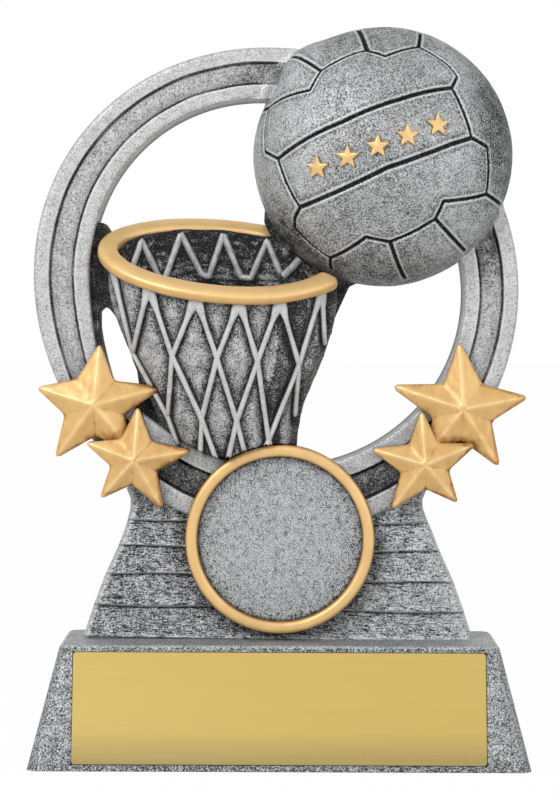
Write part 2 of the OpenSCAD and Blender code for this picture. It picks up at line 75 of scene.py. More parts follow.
# height, half width, shift right, half depth, shift back
NET_FORM = np.array([
    (0, 0.49, 0.13, 0.78, 0.52), (0.2, 0.568, 0.073, 0.85, 0.38), (0.35, 0.655, 0.033, 0.9, 0.28),
    (0.5, 0.78, 0.027, 0.94, 0.2), (0.65, 0.89, 0.025, 0.975, 0.12),
    (0.8, 0.97, 0.005, 0.98, 0.05), (0.955, 0.98, 0, 0.98, 0)])
BALL, BALL_R, BALL_DEPTH = (16.5, -2.0, 98.45), 21.05, 15.0
BALL_SIZES = np.array([BALL_R, BALL_DEPTH, BALL_R])
# middle, radius, notch, edge height, and the tips as shares, clockwise from the top
STARS = {
    "star_left_large": (-30.2, 57.95, 10.2, 0.5, 1.7, [
        (0.08, 0.94), (1.02, 0.27), (0.62, -0.74), (-0.59, -0.81), (-0.88, 0.26)]),
    "star_left_small": (-23.6, 49.1, 8.45, 0.48, 2.8, [
        (0.06, 0.98), (1.04, 0.17), (0.52, -0.9), (-0.63, -0.71), (-0.9, 0.31)]),
    "star_right_large": (29.6, 57.55, 10.2, 0.5, 1.7, [
        (-0.06, 1.02), (0.995, 0.185), (0.56, -0.88), (-0.6, -0.78), (-1.07, 0.34)]),
    "star_right_small": (23.4, 48.6, 8.45, 0.48, 2.8, [
        (-0.06, 0.98), (0.94, 0.37), (0.61, -0.71), (-0.6, -0.83), (-0.98, 0.27)])}
STAR_CROWN = 2.4
# the spot that the reference was seen from, then the camera's own step aside from it, the spot
# that it looks at, and the angle that the picture's height takes in and its roll, in degrees
EYE = np.array([0.0, -509.0, 73.3])
EYE_ASIDE, AIM, VIEW_HEIGHT, ROLL = -0.3, (-0.08, 0, 58.74), 14.66, 0.23


# ---- small helpers ----
def smooth(value, low, high):
    t = np.clip((value - low) / (high - low), 0, 1)
    return t * t * (3 - 2 * t)


def fade(value, low, high):
    """One up to the low value, eased down to nought at the high one."""
    return smooth(-value, -high, -low)


def peak(value, at, spread):
    """One at a value, falling off smoothly to both sides."""
    return np.exp(-((value - at) / spread) ** 2)


def spots(bm):
    return np.array([v.co for v in bm.verts])


def put(bm, places):
    for vert, place in zip(bm.verts, places):
        vert.co = place


def grain(places, size, octaves=3):
    """Fractal noise at each place, about -1 to 1, with lumps of that size."""
    return np.array([noise.fractal(Vector(p) / size, 0.8, 2.0, octaves) for p in places])


def sheet(columns, rows, place):
    """A grid bent so that its vertex at shares (u, v) lies at place(u, v)."""
    bm = bmesh.new()
    bmesh.ops.create_grid(bm, x_segments=columns, y_segments=rows, size=0.5)
    share = spots(bm)[:, :2] + 0.5
    put(bm, place(share[:, 0], share[:, 1]))
    return bm


def close(bm, *marks):
    """Joins a bent sheet's meeting edges, faces it outward and gives its marks back in step."""
    for k, values in enumerate(marks):
        layer = bm.verts.layers.float.new(f"mark{k}")
        for vert, value in zip(bm.verts, values):
            vert[layer] = value
    bmesh.ops.remove_doubles(bm, verts=bm.verts, dist=1e-4)
    bmesh.ops.dissolve_degenerate(bm, edges=bm.edges, dist=1e-5)
    bmesh.ops.recalc_face_normals(bm, faces=bm.faces)
    kept = []
    for k in range(len(marks)):
        layer = bm.verts.layers.float[f"mark{k}"]
        kept.append(np.array([vert[layer] for vert in bm.verts]))
        bm.verts.layers.float.remove(layer)
    return kept


def merged(parts):
    whole = bmesh.new()
    for bm in parts:
        spare = bpy.data.meshes.new("spare")
        bm.to_mesh(spare)
        bm.free()
        whole.from_mesh(spare)
        bpy.data.meshes.remove(spare)
    return whole


def open_edges(bm):
    return [e for e in bm.edges if e.is_boundary]


def grown_verts(grown):
    """The new vertices that an extrusion gives back."""
    return [part for part in grown["geom"] if isinstance(part, bmesh.types.BMVert)]


def soften(bm, edges, size, segments, **more):
    bmesh.ops.bevel(bm, geom=edges, offset=size, segments=segments, profile=0.5,
                    affect="EDGES", material=-1, **more)


def cut_up(bm, corners=3):
    """Cuts faces with more corners than that into triangles."""
    bmesh.ops.triangulate(bm, faces=[f for f in bm.faces if len(f.verts) > corners])


def halve(bm, edges, corners=3):
    """Cuts edges in half, then the faces that have more corners than that into triangles."""
    bmesh.ops.subdivide_edges(bm, edges=edges, cuts=1)
    cut_up(bm, corners)


def nearest(p, lines):
    """Distance from each place to the nearest of some polylines."""
    best = np.full(len(p), 99.0)
    for line in lines:
        for a, b in zip(line, line[1:]):
            way = b - a
            t = np.clip((p - a) @ way / (way @ way), 0, 1)
            best = np.minimum(best, np.linalg.norm(p - a - t[:, None] * way, axis=1))
    return best


def piece(name, bm, material, nodes, wash_and_shade=0.0, rub_and_highlight=0.0, crease=60):
    """Makes the mesh a piece of the award, with its marks per vertex: wash with painted shade, and
    rub with painted highlight.
    """
    bmesh.ops.recalc_face_normals(bm, faces=bm.faces)
    bmesh.ops.scale(bm, vec=(MM, MM, MM), verts=bm.verts)
    mesh = bpy.data.meshes.new(name)
    bm.to_mesh(mesh)
    bm.free()
    for label, marks in (("wash_and_shade", wash_and_shade), ("rub_and_highlight", rub_and_highlight)):
        layer = mesh.attributes.new(label, "FLOAT", "POINT")
        layer.data.foreach_set("value", np.clip(np.broadcast_to(marks, len(mesh.vertices)), 0, 1)
                               .astype(np.float32))
    mesh.shade_smooth()
    mesh.set_sharp_from_angle(angle=math.radians(crease))
    mesh.materials.append(material)
    thing = bpy.data.objects.new(name, mesh)
    bpy.context.scene.collection.objects.link(thing)
    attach(thing, "root")
    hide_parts(*nodes)
    return thing


# ---- finishes ----
def add(tree, kind, **settings):
    made = tree.nodes.new(kind)
    for key, value in settings.items():
        if hasattr(made, key):
            setattr(made, key, value)
        else:
            made.inputs[key.replace("_", " ")].default_value = value
    return made


def speck(tree, scale, stretch=(1, 1, 1), detail=3.0, rough=0.6, turn=0):
    """Noise over the surface, in lumps of about 1000 / scale millimetres, drawn out and turned."""
    place = add(tree, "ShaderNodeTexCoord")
    fit = add(tree, "ShaderNodeMapping", vector_type="TEXTURE")
    fit.inputs["Scale"].default_value = stretch
    fit.inputs["Rotation"].default_value = (0, math.radians(turn), 0)
    field = add(tree, "ShaderNodeTexNoise")
    field.inputs["Scale"].default_value = scale
    field.inputs["Detail"].default_value = detail
    field.inputs["Roughness"].default_value = rough
    tree.links.new(place.outputs["Object"], fit.inputs["Vector"])
    tree.links.new(fit.outputs["Vector"], field.inputs["Vector"])
    return field.outputs["Fac"]


def limits(tree, source, low, high, to_low=0.0, to_high=1.0):
    made = add(tree, "ShaderNodeMapRange")
    for key, value in (("From Min", low), ("From Max", high), ("To Min", to_low),
                       ("To Max", to_high)):
        made.inputs[key].default_value = value
    tree.links.new(source, made.inputs["Value"])
    return made.outputs["Result"]


def sums(tree, how, first, second, clamp=False):
    made = add(tree, "ShaderNodeMath", operation=how, use_clamp=clamp)
    for slot, value in zip(made.inputs, (first, second)):
        if isinstance(value, (int, float)):
            slot.default_value = value
        else:
            tree.links.new(value, slot)
    return made.outputs[0]


def blend(tree, share, low, high):
    """Mixes two colours, each a colour or another node's output."""
    made = add(tree, "ShaderNodeMix", data_type="RGBA")
    tree.links.new(share, made.inputs["Factor"])
    for slot, value in ((made.inputs[6], low), (made.inputs[7], high)):
        if isinstance(value, tuple):
            slot.default_value = (*value, 1)
        else:
            tree.links.new(value, slot)
    return made.outputs[2]


def mark(tree, label):
    return add(tree, "ShaderNodeAttribute", attribute_name=label).outputs["Fac"]


def new_finish(name):
    made = bpy.data.materials.new(name)
    made.use_nodes = True
    tree = made.node_tree
    return made, tree, tree.nodes["Principled BSDF"]


def bump(tree, shader, height, depth, strength=1.0):
    made = add(tree, "ShaderNodeBump")
    made.inputs["Strength"].default_value = strength
    made.inputs["Distance"].default_value = depth * MM
    tree.links.new(height, made.inputs["Height"])
    tree.links.new(made.outputs["Normal"], shader.inputs["Normal"])


def ramp(tree, source, stops, cool=0.0):
    """Greys along a scale, each stop a place and a level, as cool as asked."""
    made = add(tree, "ShaderNodeValToRGB")
    line = made.color_ramp.elements
    while len(line) < len(stops):
        line.new(0.5)
    for element, (place, level) in zip(line, stops):
        element.position = place
        element.color = ((1 - 0.05 * cool) * level, level, (1.005 + 0.02 * cool) * level, 1)
    tree.links.new(source, made.inputs["Fac"])
    return made.outputs["Color"]


# greys of the silver from the bare wash up to rubbed paint: a place on the scale, and a level
SILVER_SCALE = [(0.0, 0.018), (0.3, 0.10), (0.5, 0.25), (0.72, 0.38), (1.0, 0.56)]
# the rub mark, which also holds painted highlights, lifts the grey; the wash mark, which also
# holds painted shade, drops it
RUB_AND_HIGHLIGHT_LIFT, WASH_AND_SHADE_DROP = 0.4, 0.75
GOLD_DULL, GOLD_FULL, GOLD_LIT = (0.60, 0.355, 0.125), (0.68, 0.43, 0.165), (0.88, 0.63, 0.30)
GOLD_BROWN, GOLD_BLACK = (0.33, 0.145, 0.035), (0.04, 0.025, 0.015)
# the plate's gold, the darker gold along its foot, and its fine brushed lines
PLATE_GOLD, PLATE_LOW, PLATE_LINES = (0.53, 0.385, 0.098), (0.315, 0.24, 0.084), (0.62, 0.47, 0.15)


def silver(name, level, fine_share=1.6, patch_share=0.7, size=4000, streak=(), worn=0.4,
           cool=0.0):
    """Rubbed silver over a dark wash: it is darker where the mark of wash and painted shade is
    high.
    """
    made, tree, shader = new_finish(name)
    fine = speck(tree, size, detail=1.5, rough=0.6)
    patch = speck(tree, 600, detail=4.0, rough=0.65)
    scale = sums(tree, "ADD", sums(tree, "MULTIPLY", fine, fine_share),
                 sums(tree, "MULTIPLY", patch, patch_share))
    scale = sums(tree, "ADD", scale, level - 0.5 * (fine_share + patch_share))
    # scratches and brush marks that run one way each
    for turn in streak:
        lines = speck(tree, 5200, stretch=(7, 1, 1), detail=1.0, turn=turn)
        scale = sums(tree, "SUBTRACT", scale, limits(tree, lines, 0.52, 0.70, 0.0, worn))
    scale = sums(tree, "ADD", scale, sums(tree, "MULTIPLY", mark(tree, "rub_and_highlight"), RUB_AND_HIGHLIGHT_LIFT))
    scale = sums(tree, "SUBTRACT", scale,
                 sums(tree, "MULTIPLY", mark(tree, "wash_and_shade"), WASH_AND_SHADE_DROP), clamp=True)
    tree.links.new(ramp(tree, scale, SILVER_SCALE, cool), shader.inputs["Base Color"])
    shader.inputs["Metallic"].default_value = 0.25
    tree.links.new(limits(tree, scale, 0, 1, 0.7, 0.45), shader.inputs["Roughness"])
    tree.links.new(limits(tree, scale, 0, 0.4, 0.12, 0.5), shader.inputs["Specular IOR Level"])
    bump(tree, shader, fine, 0.12, 0.5)
    return made


def gold(name):
    """Brushed-on gold paint, thin and brown where the mark of wash and painted shade is high."""
    made, tree, shader = new_finish(name)
    strokes = speck(tree, 500, stretch=(1, 1, 2.8), detail=3.0)
    fine = speck(tree, 1300, stretch=(1, 1, 2), detail=2.0)
    wash_and_shade, rub_and_highlight = mark(tree, "wash_and_shade"), mark(tree, "rub_and_highlight")
    base = blend(tree, limits(tree, strokes, 0.35, 0.65), GOLD_DULL, GOLD_FULL)
    base = blend(tree, rub_and_highlight, base, GOLD_LIT)
    brown = sums(tree, "ADD", wash_and_shade, limits(tree, fine, 0.3, 0.7, -0.13, 0.13))
    brown = limits(tree, brown, 0.2, 0.9)
    base = blend(tree, limits(tree, brown, 0, 0.6), base, GOLD_BROWN)
    base = blend(tree, limits(tree, brown, 0.6, 1), base, GOLD_BLACK)
    tree.links.new(base, shader.inputs["Base Color"])
    shader.inputs["Metallic"].default_value = 0.25
    shader.inputs["Roughness"].default_value = 0.38
    bump(tree, shader, sums(tree, "ADD", strokes, sums(tree, "MULTIPLY", fine, 0.4)), 0.15, 0.35)
    return made


def satin_plate(name):
    """Anodised gold with fine lines along it, darker along its foot."""
    made, tree, shader = new_finish(name)
    place = add(tree, "ShaderNodeTexCoord")
    parts = add(tree, "ShaderNodeSeparateXYZ")
    tree.links.new(place.outputs["Object"], parts.inputs["Vector"])
    low = limits(tree, parts.outputs["Z"], 1.0 * MM, 6.5 * MM, 1.0, 0.0)
    brushed = speck(tree, 2200, stretch=(50, 1, 1), detail=2.0)
    base = blend(tree, low, PLATE_GOLD, PLATE_LOW)
    base = blend(tree, limits(tree, brushed, 0.3, 0.7, 0.0, 0.12), base, PLATE_LINES)
    tree.links.new(base, shader.inputs["Base Color"])
    shader.inputs["Metallic"].default_value = 0.08
    shader.inputs["Roughness"].default_value = 0.62
    bump(tree, shader, brushed, 0.01, 0.3)
    return made


def plain(name, size, low, high, rough):
    """A matt finish that varies a little between two colours."""
    made, tree, shader = new_finish(name)
    field = speck(tree, size)
    tree.links.new(blend(tree, field, low, high), shader.inputs["Base Color"])
    shader.inputs["Roughness"].default_value = rough
    return made, tree, shader, field


def felt_nap(name):
    made, tree, shader, fuzz = plain(name, 5000, (0.012, 0.012, 0.013), (0.05, 0.05, 0.052), 0.95)
    shader.inputs["Sheen Weight"].default_value = 0.4
    bump(tree, shader, fuzz, 0.1, 0.8)
    return made


plain_silver = silver("antique_silver", 0.70)
ball_silver = silver("antique_silver_ball", 0.66, 2.0, 0.7, cool=0.3)
stone_silver = silver("antique_silver_stone", 0.71, 2.2, 0.8, streak=(0, 4), worn=0.45,
                      cool=0.7)
block_silver = silver("antique_silver_block", 0.56, 2.6, 0.6, cool=1.0)
net_silver = silver("dark_silver", 0.64, 2.0, 0.6)
cord_silver = silver("bright_silver", 0.90, 1.0, 0.4)
medal_silver = silver("antique_silver_medal", 0.77, 2.3, 0.4, 5500, (15, 75, 130), 0.3, 0.8)
gold_paint = gold("gold_paint")
plate_gold = satin_plate("satin_gold_plate")
felt = felt_nap("felt")
tape = plain("adhesive_tape", 1500, (0.74, 0.74, 0.70), (0.82, 0.82, 0.79), 0.6)[0]


# ---- plinth, pad, plate ----
def taper(z):
    """Width and depth of the plinth at a height."""
    share = (z - FELT_STAND) / (PLINTH_H - FELT_STAND)
    return [PLINTH_FOOT[k] + share * (PLINTH_TOP[k] - PLINTH_FOOT[k]) for k in (0, 1)]


FACE_SLOPE = math.atan((PLINTH_FOOT[1] - PLINTH_TOP[1]) / 2 / (PLINTH_H - FELT_STAND))
FACE_MID = (0, -(PLINTH_FOOT[1] + PLINTH_TOP[1]) / 4, (PLINTH_H + FELT_STAND) / 2)
FACE_OUT = Vector((0, -math.cos(FACE_SLOPE), math.sin(FACE_SLOPE)))


def on_face(bm, off):
    """Stands a flat shape made in X and Y against the sloping face, that far off it."""
    bmesh.ops.rotate(bm, verts=bm.verts, cent=(0, 0, 0),
                     matrix=Matrix.Rotation(math.pi / 2 - FACE_SLOPE, 3, "X"))
    bmesh.ops.translate(bm, verts=bm.verts, vec=Vector(FACE_MID) + off * FACE_OUT)


def sink_pocket(bm, mid, out, sizes, depth):
    """Presses a rectangular pocket into the flat face at a place, by that depth."""
    bm.normal_update()
    face = min((f for f in bm.faces if f.normal.dot(out) > 0.99),
               key=lambda f: (f.calc_center_median() - mid).length)
    across = Vector((1, 0, 0))
    up = out.cross(across)
    # the face is drawn in to the pocket's four corners, then pushed down
    bmesh.ops.inset_region(bm, faces=[face], thickness=0.3, depth=0)
    for v in face.verts:
        off = v.co - mid
        v.co = (mid + across * math.copysign(sizes[0] / 2, off.dot(across))
                + up * math.copysign(sizes[1] / 2, off.dot(up)))
    bmesh.ops.remove_doubles(bm, verts=bm.verts, dist=1e-3)
    bm.normal_update()
    face = min((f for f in bm.faces if f.normal.dot(out) > 0.99 and len(f.verts) == 4),
               key=lambda f: (f.calc_center_median() - mid).length)
    hollow = bmesh.ops.extrude_face_region(bm, geom=[face])
    if face.is_valid:
        bmesh.ops.delete(bm, geom=[face], context="FACES_ONLY")
    bmesh.ops.translate(bm, vec=-depth * out, verts=grown_verts(hollow))


def make_plinth():
    bm = bmesh.new()
    bmesh.ops.create_cube(bm, size=1)
    for v in bm.verts:
        z = PLINTH_H if v.co.z > 0 else FELT_STAND
        w, d = taper(z)
        v.co = (math.copysign(w / 2, v.co.x), math.copysign(d / 2, v.co.y), z)
    upright = [e for e in bm.edges if abs(e.verts[0].co.z - e.verts[1].co.z) > 1]
    soften(bm, upright, 2, 8)
    for high, size in ((True, 0.55), (False, 0.12)):
        rims = [e for e in bm.edges if e.calc_face_angle(0) > 0.6
                and all((v.co.z > PLINTH_H / 2) == high for v in e.verts)]
        soften(bm, rims, size, 4, clamp_overlap=True)
    sink_pocket(bm, Vector(FACE_MID), FACE_OUT, (PLATE[0] + 0.2, PLATE[1] + 0.2), PLATE_POCKET)
    sink_pocket(bm, Vector((0, 0, FELT_STAND)), Vector((0, 0, -1)),
                [size - 2 * FELT_MARGIN for size in PLINTH_FOOT], FELT_POCKET)
    cut_up(bm, 4)
    for _ in range(5):
        halve(bm, [e for e in bm.edges if e.calc_length() > 2.5], 4)
    x, y, z = spots(bm).T
    near_top = smooth(z, PLINTH_H - 0.5, PLINTH_H - 0.2)
    on_top = smooth(z, PLINTH_H - 0.04, PLINTH_H - 0.005)
    # the bevel along the top edge is lighter: a painted highlight
    rub_and_highlight = 0.6 * near_top * (1 - 0.5 * on_top)
    # the strips above and below the plate are darker, and so is the middle of the top, as painted
    # shade under the pedestal; the foot is a little darker too
    strips = (y < -12) * smooth(np.abs(z - FACE_MID[2]), 8.2, 8.7) * (1 - near_top)
    wash_and_shade = (0.06 + (0.02 + 0.08 * fade(np.abs(x), 27, 32)) * on_top + 0.16 * strips
            + 0.03 * fade(z, 0.3, 2))
    piece("plinth_block", bm, block_silver, ["plinth"], wash_and_shade, rub_and_highlight, 40)


def make_plate():
    bm = bmesh.new()
    bmesh.ops.create_cube(bm, size=1)
    bmesh.ops.scale(bm, vec=(*PLATE, PLATE_T), verts=bm.verts)
    soften(bm, [e for e in bm.edges if abs(e.verts[0].co.z - e.verts[1].co.z) > 0.1], 0.5, 6)
    soften(bm, [e for e in bm.edges if e.calc_face_angle(0) > 1.2], 0.08, 2)
    on_face(bm, -PLATE_POCKET + TAPE_T + PLATE_T / 2)
    piece("nameplate_sheet", bm, plate_gold, ["nameplate"], crease=30)


# ---- pedestal ----
def course_height(x, v):
    """Height share as the laps count it: they run a little downhill to the right, and wander."""
    wander = 0.004 * np.sin(x * 0.31 + v * 9) * smooth(v, 0.03, 0.1)
    # at the right the middle laps dip beside the medallion, and the upper ones rise outward
    dip = smooth(x, 2, 13) * (0.006 + 0.024 * peak(v, 0.42, 0.22))
    rise = 0.042 * smooth(x, 14, 30) * smooth(v, 0.3, 0.8)
    return np.clip(v + 0.016 * (x + 25) / 30 + wander + (dip - rise) * smooth(v, 0.02, 0.1), 0, 1)


def course_of(lean):
    """The course, counted from the foot, that each height share lies in."""
    return np.clip(np.searchsorted(COURSES, lean, side="right") - 1, 0, LAST_COURSE)


def pedestal_half(v):
    return np.interp(v, PEDESTAL_SIDE[:, 0], PEDESTAL_SIDE[:, 1]) * PEDESTAL_W / 2


def make_pedestal():
    def place(u, v):
        z = PLINTH_H + 0.02 + v * (PEDESTAL_H - 0.02)
        half = pedestal_half(v)
        x = (2 * u - 1) * half
        lean = course_height(x, v)
        course = course_of(lean)
        within = (lean - COURSES[course]) / (COURSES[course + 1] - COURSES[course])
        lap = (1 - within) ** 1.3
        lip = smooth(within, 0.0, 0.07)
        y = PEDESTAL_FRONT - COURSE_LAP * lap * (0.25 + 0.75 * lip)
        y = y + 0.9 * fade(half - np.abs(x), 0, 0.9) ** 2
        return np.stack([x + PEDESTAL_X + PEDESTAL_TOP_X * smooth(v, 0.7, 0.92), y, z], 1)

    bm = sheet(300, 200, place)
    p = spots(bm)
    rough = grain(p, 1.1, 4)
    pits = grain(p + 50, 0.5, 2)
    p[:, 1] += 0.10 * rough + 0.08 * pits
    p[:, 1] = np.maximum(p[:, 1], PEDESTAL_FRONT - COURSE_LAP)
    put(bm, p)
    x, z = p[:, 0], p[:, 2]
    v = (z - PLINTH_H) / PEDESTAL_H
    lean = course_height(x, v)
    course = course_of(lean)
    within = (lean - COURSES[course]) * PEDESTAL_H
    above = (COURSES[course + 1] - lean) * PEDESTAL_H
    edge = pedestal_half(v) - np.abs(x)
    # a painted shadow under each lap and a painted highlight on each lip; it is also lighter at
    # its side edges, toward the right and at its foot, and darker round the medallion
    under_lap = peak(above, 0, 0.19) * (course < LAST_COURSE)
    on_lip = peak(within, 0.2, 0.17) * (course > 0)
    wash_and_shade = 0.09 - 0.004 * x + 0.25 * np.clip(-rough, -1, 1) + 0.95 * under_lap
    wash_and_shade = wash_and_shade + 0.35 * fade(np.hypot(x, z - MEDAL_Z), 15.5, 18.5)
    rub_and_highlight = 0.95 * on_lip + 0.8 * fade(edge, 0.3, 0.9)
    rub_and_highlight += 0.3 * fade(edge, 0.5, 5) * (x > 0)
    rub_and_highlight = np.maximum(rub_and_highlight, 0.5 * fade(v, 0.01, 0.035))
    wash_and_shade = np.clip(wash_and_shade * (1 - 0.8 * np.clip(rub_and_highlight, 0, 1)), 0, 1)
    # the sides and the back have an even tone of their own
    front = len(bm.verts)
    grown = bmesh.ops.extrude_edge_only(bm, edges=open_edges(bm))
    for vert in grown_verts(grown):
        vert.co.y = BACK_Y - 0.05
    bmesh.ops.holes_fill(bm, edges=open_edges(bm))
    rest = len(bm.verts) - front
    piece("pedestal_courses", bm, stone_silver, ["pedestal"],
          np.append(wash_and_shade, np.full(rest, 0.35)), np.append(rub_and_highlight, np.full(rest, 0.1)), 50)


# ---- arch ----
def arch_reach(angle, k):
    """Distance of the arch's inner (0) or outer (1) edge from its own middle, at each angle."""
    radius, _, two, two_at, three, three_at = ARCH_EDGES[k]
    thin = THIN_BY * peak(np.mod(np.degrees(angle), 360), THIN_AT, THIN_SPREAD) if k == 0 else 0
    return radius * (1 + two * np.cos(2 * (angle - math.radians(two_at)))
                     + three * np.cos(3 * (angle - math.radians(three_at))) + thin)


def inside_arch(p, share=1.0):
    """Draws places that lie outside the arch's inner edge in to it."""
    x, z = p[:, 0] - ARCH_X, p[:, 2] - ARCH_EDGES[0][1]
    pull = np.maximum(np.hypot(x, z) / (arch_reach(np.arctan2(z, x), 0) * share), 1)
    return np.stack([ARCH_X + x / pull, p[:, 1], ARCH_EDGES[0][1] + z / pull], 1)


def make_arch():
    # the section is turned into a plain ring, which is then drawn to the arch's two edges
    bm = bmesh.new()
    turned_at = 30
    loop = [bm.verts.new((turned_at + s, y, 0)) for s, y, _ in ARCH_SECTION]
    bm.faces.new(loop)
    for vert, (_, _, round_off) in zip(loop, ARCH_SECTION):
        bmesh.ops.bevel(bm, geom=[vert], offset=round_off, segments=3, profile=0.5,
                        affect="VERTICES", material=-1)
    bmesh.ops.delete(bm, geom=bm.faces[:], context="FACES_ONLY")
    for edge in bm.edges[:]:
        cuts = int(edge.calc_length() / 0.5)
        if cuts and edge.verts[0].co.y < 0 and edge.verts[1].co.y < 0:
            bmesh.ops.subdivide_edges(bm, edges=[edge], cuts=cuts)
    bmesh.ops.spin(bm, geom=bm.verts[:] + bm.edges[:], cent=(0, 0, 0), axis=(0, 1, 0),
                   angle=2 * math.pi, steps=540, use_merge=True)
    close(bm)
    p = spots(bm)
    angle, y = np.arctan2(p[:, 2], p[:, 0]), p[:, 1].copy()
    s = np.hypot(p[:, 0], p[:, 2]) - turned_at
    round_dir = np.stack([np.cos(angle), np.sin(angle)], 1)
    edges = [round_dir * arch_reach(angle, k)[:, None] + (ARCH_X, ARCH_EDGES[k][1])
             for k in (0, 1)]
    # the lines between rims and channel wander a little
    sway = grain(np.stack([12 * round_dir[:, 0], 0 * angle, 12 * round_dir[:, 1]], 1), 2.2, 2)
    share = (s + 0.10 * sway * ((s > 1) & (s < 7.5))) / ARCH_BAND
    flat = edges[0] + share[:, None] * (edges[1] - edges[0])
    p = np.stack([flat[:, 0], y, flat[:, 1]], 1)
    # a fillet climbs from the arch's face to the ball, and the channel runs out into it
    gap = np.hypot(p[:, 0] - BALL[0], p[:, 2] - BALL[2]) - BALL_R
    left = fade(p[:, 0], 8, 22)
    size = 0.7 + 1.3 * left
    climb = np.clip(1 - gap / size, 0, 1)
    fillet = size * (1 - np.sqrt(np.clip(1 - climb ** 2, 0, 1)))
    front = fade(y, -2.1, -1.6)
    fill = fade(gap, 1.2 * left, 2.6 * left + 0.6)
    p[:, 1] = np.where(front > 0, y + front * fill * (FRONT_Y - y) - front * fillet, y)
    wobble = grain(p, 5.0, 2)
    p[:, 1] += front * 0.05 * wobble
    put(bm, p)
    # wash stands in the channel, most in the lines along its walls; the front is darker toward the
    # arch's foot, and the channel darker near the ball
    channel = smooth(s, 2.4, 2.5) * fade(s, 6.28, 6.38) * front
    lines = sum(peak(s, at, 0.13) for at in (6.22, 2.57)) * front
    low = fade(p[:, 2], 48, 58) * front
    wash_and_shade = channel * (0.02 + 0.16 * peak(s, 5.9, 0.9) + 0.48 * low + 0.10 * peak(s, 2.8, 0.6))
    wash_and_shade += lines * np.clip(0.62 + 0.5 * grain(p, 7.0, 2), 0.25, 1) + 0.1 * low
    wash_and_shade = wash_and_shade * (1 - 0.9 * fill) + front * channel * 0.4 * fade(gap, 2.2, 9)
    # off the front, the inner wall and the inner half of the back are dark, as painted shade on
    # the wall that faces the hole, and the rest is a little darker
    wash_and_shade += (1 - front) * np.where(s < 4, 0.62, 0.12)
    lips = sum(peak(s, at, 0.16) for at in (6.52, 5.8, 3.0, 2.26)) * front
    rub_and_highlight = front * (1 - channel) * (0.32 + 0.15 * wobble) * (1 - 0.5 * fill) + 0.35 * lips
    piece("arch_band", bm, plain_silver, ["arch"], wash_and_shade,
          rub_and_highlight * (1 - np.clip(lines, 0, 1)), 50)


# ---- ball ----
def seen_on_ball(share):
    """The spot on the ball's unit sphere that is seen at shares right and up of its middle."""
    target = np.array([BALL[0] + BALL_R * share[0], BALL[1], BALL[2] + BALL_R * share[1]])
    start, way = (EYE - BALL) / BALL_SIZES, (target - EYE) / BALL_SIZES
    a, b, c = way @ way, 2 * start @ way, start @ start - 1
    spread = max(b * b - 4 * a * c, 0)
    hit = start + (-b - math.sqrt(spread)) / (2 * a) * way
    return hit / np.linalg.norm(hit)


# where the seams meet or turn, as shares of the radius right and up of the ball's middle
CORNERS = [
    (-0.816, -0.018), (-0.571, 0.122), (-0.313, 0.273), (-0.112, 0.374), (0.117, 0.445),
    (0.317, 0.495), (0.533, 0.538),
    (-0.643, -0.394), (-0.313, -0.236), (0.031, -0.085), (0.318, 0.036), (0.533, 0.101),
    (0.69, 0.151),
    (-0.916, 0.037), (-0.894, 0.374), (-0.571, 0.516), (-0.485, 0.667), (-0.198, 0.811),
    (-0.127, 0.825), (0.016, 0.782), (0.274, 0.853), (0.504, 0.71), (0.575, 0.624),
    (-0.686, -0.48), (-0.686, -0.551), (-0.407, -0.788), (-0.127, -0.623), (0.06, -0.659),
    (0.411, -0.48), (0.475, -0.343), (0.805, -0.286), (0.812, 0.079),
    (-0.955, 0.358), (-0.68, 0.73), (-0.197, 0.98), (0.285, 0.957), (-0.4, -0.88),
    (0.18, -0.95), (0.645, -0.73), (0.93, -0.39)]
# half width of each seam, then the corners that it runs through
SEAMS = [
    (0.3, [0, 2, 4, 6]), (0.31, [7, 9, 11, 12]), (0.27, [0, 7]), (0.27, [6, 12]),
    (0.22, [0, 13, 14, 15, 16, 17, 18, 19, 20, 21, 22, 6]),
    (0.27, [7, 23, 24, 25, 26, 27, 28, 29, 30, 31, 12]),
    (0.28, [14, 32]), (0.22, [16, 33]), (0.32, [18, 34]), (0.24, [20, 35]), (0.24, [25, 36]),
    (0.27, [27, 37]), (0.26, [28, 38]), (0.25, [30, 39])]


def seam_gap(directions):
    """How far outside the nearest seam's edge each direction is, in millimetres, and its width."""
    gap, width = np.full(len(directions), 99.0), np.full(len(directions), 0.3)
    for half, run in SEAMS:
        ends = [seen_on_ball(CORNERS[k]) for k in run]
        for a, b in zip(ends, ends[1:]):
            axis = np.cross(a, b)
            axis /= np.linalg.norm(axis)
            off = np.abs(np.arcsin(np.clip(directions @ axis, -1, 1)))
            between = (np.cross(a, directions) @ axis > 0) & (np.cross(directions, b) @ axis > 0)
            tips = np.arccos(np.clip(np.maximum(directions @ a, directions @ b), -1, 1))
            away = np.where(between, off, tips) * BALL_R - half
            nearer = away < gap
            gap[nearer], width[nearer] = away[nearer], half
    return gap, width


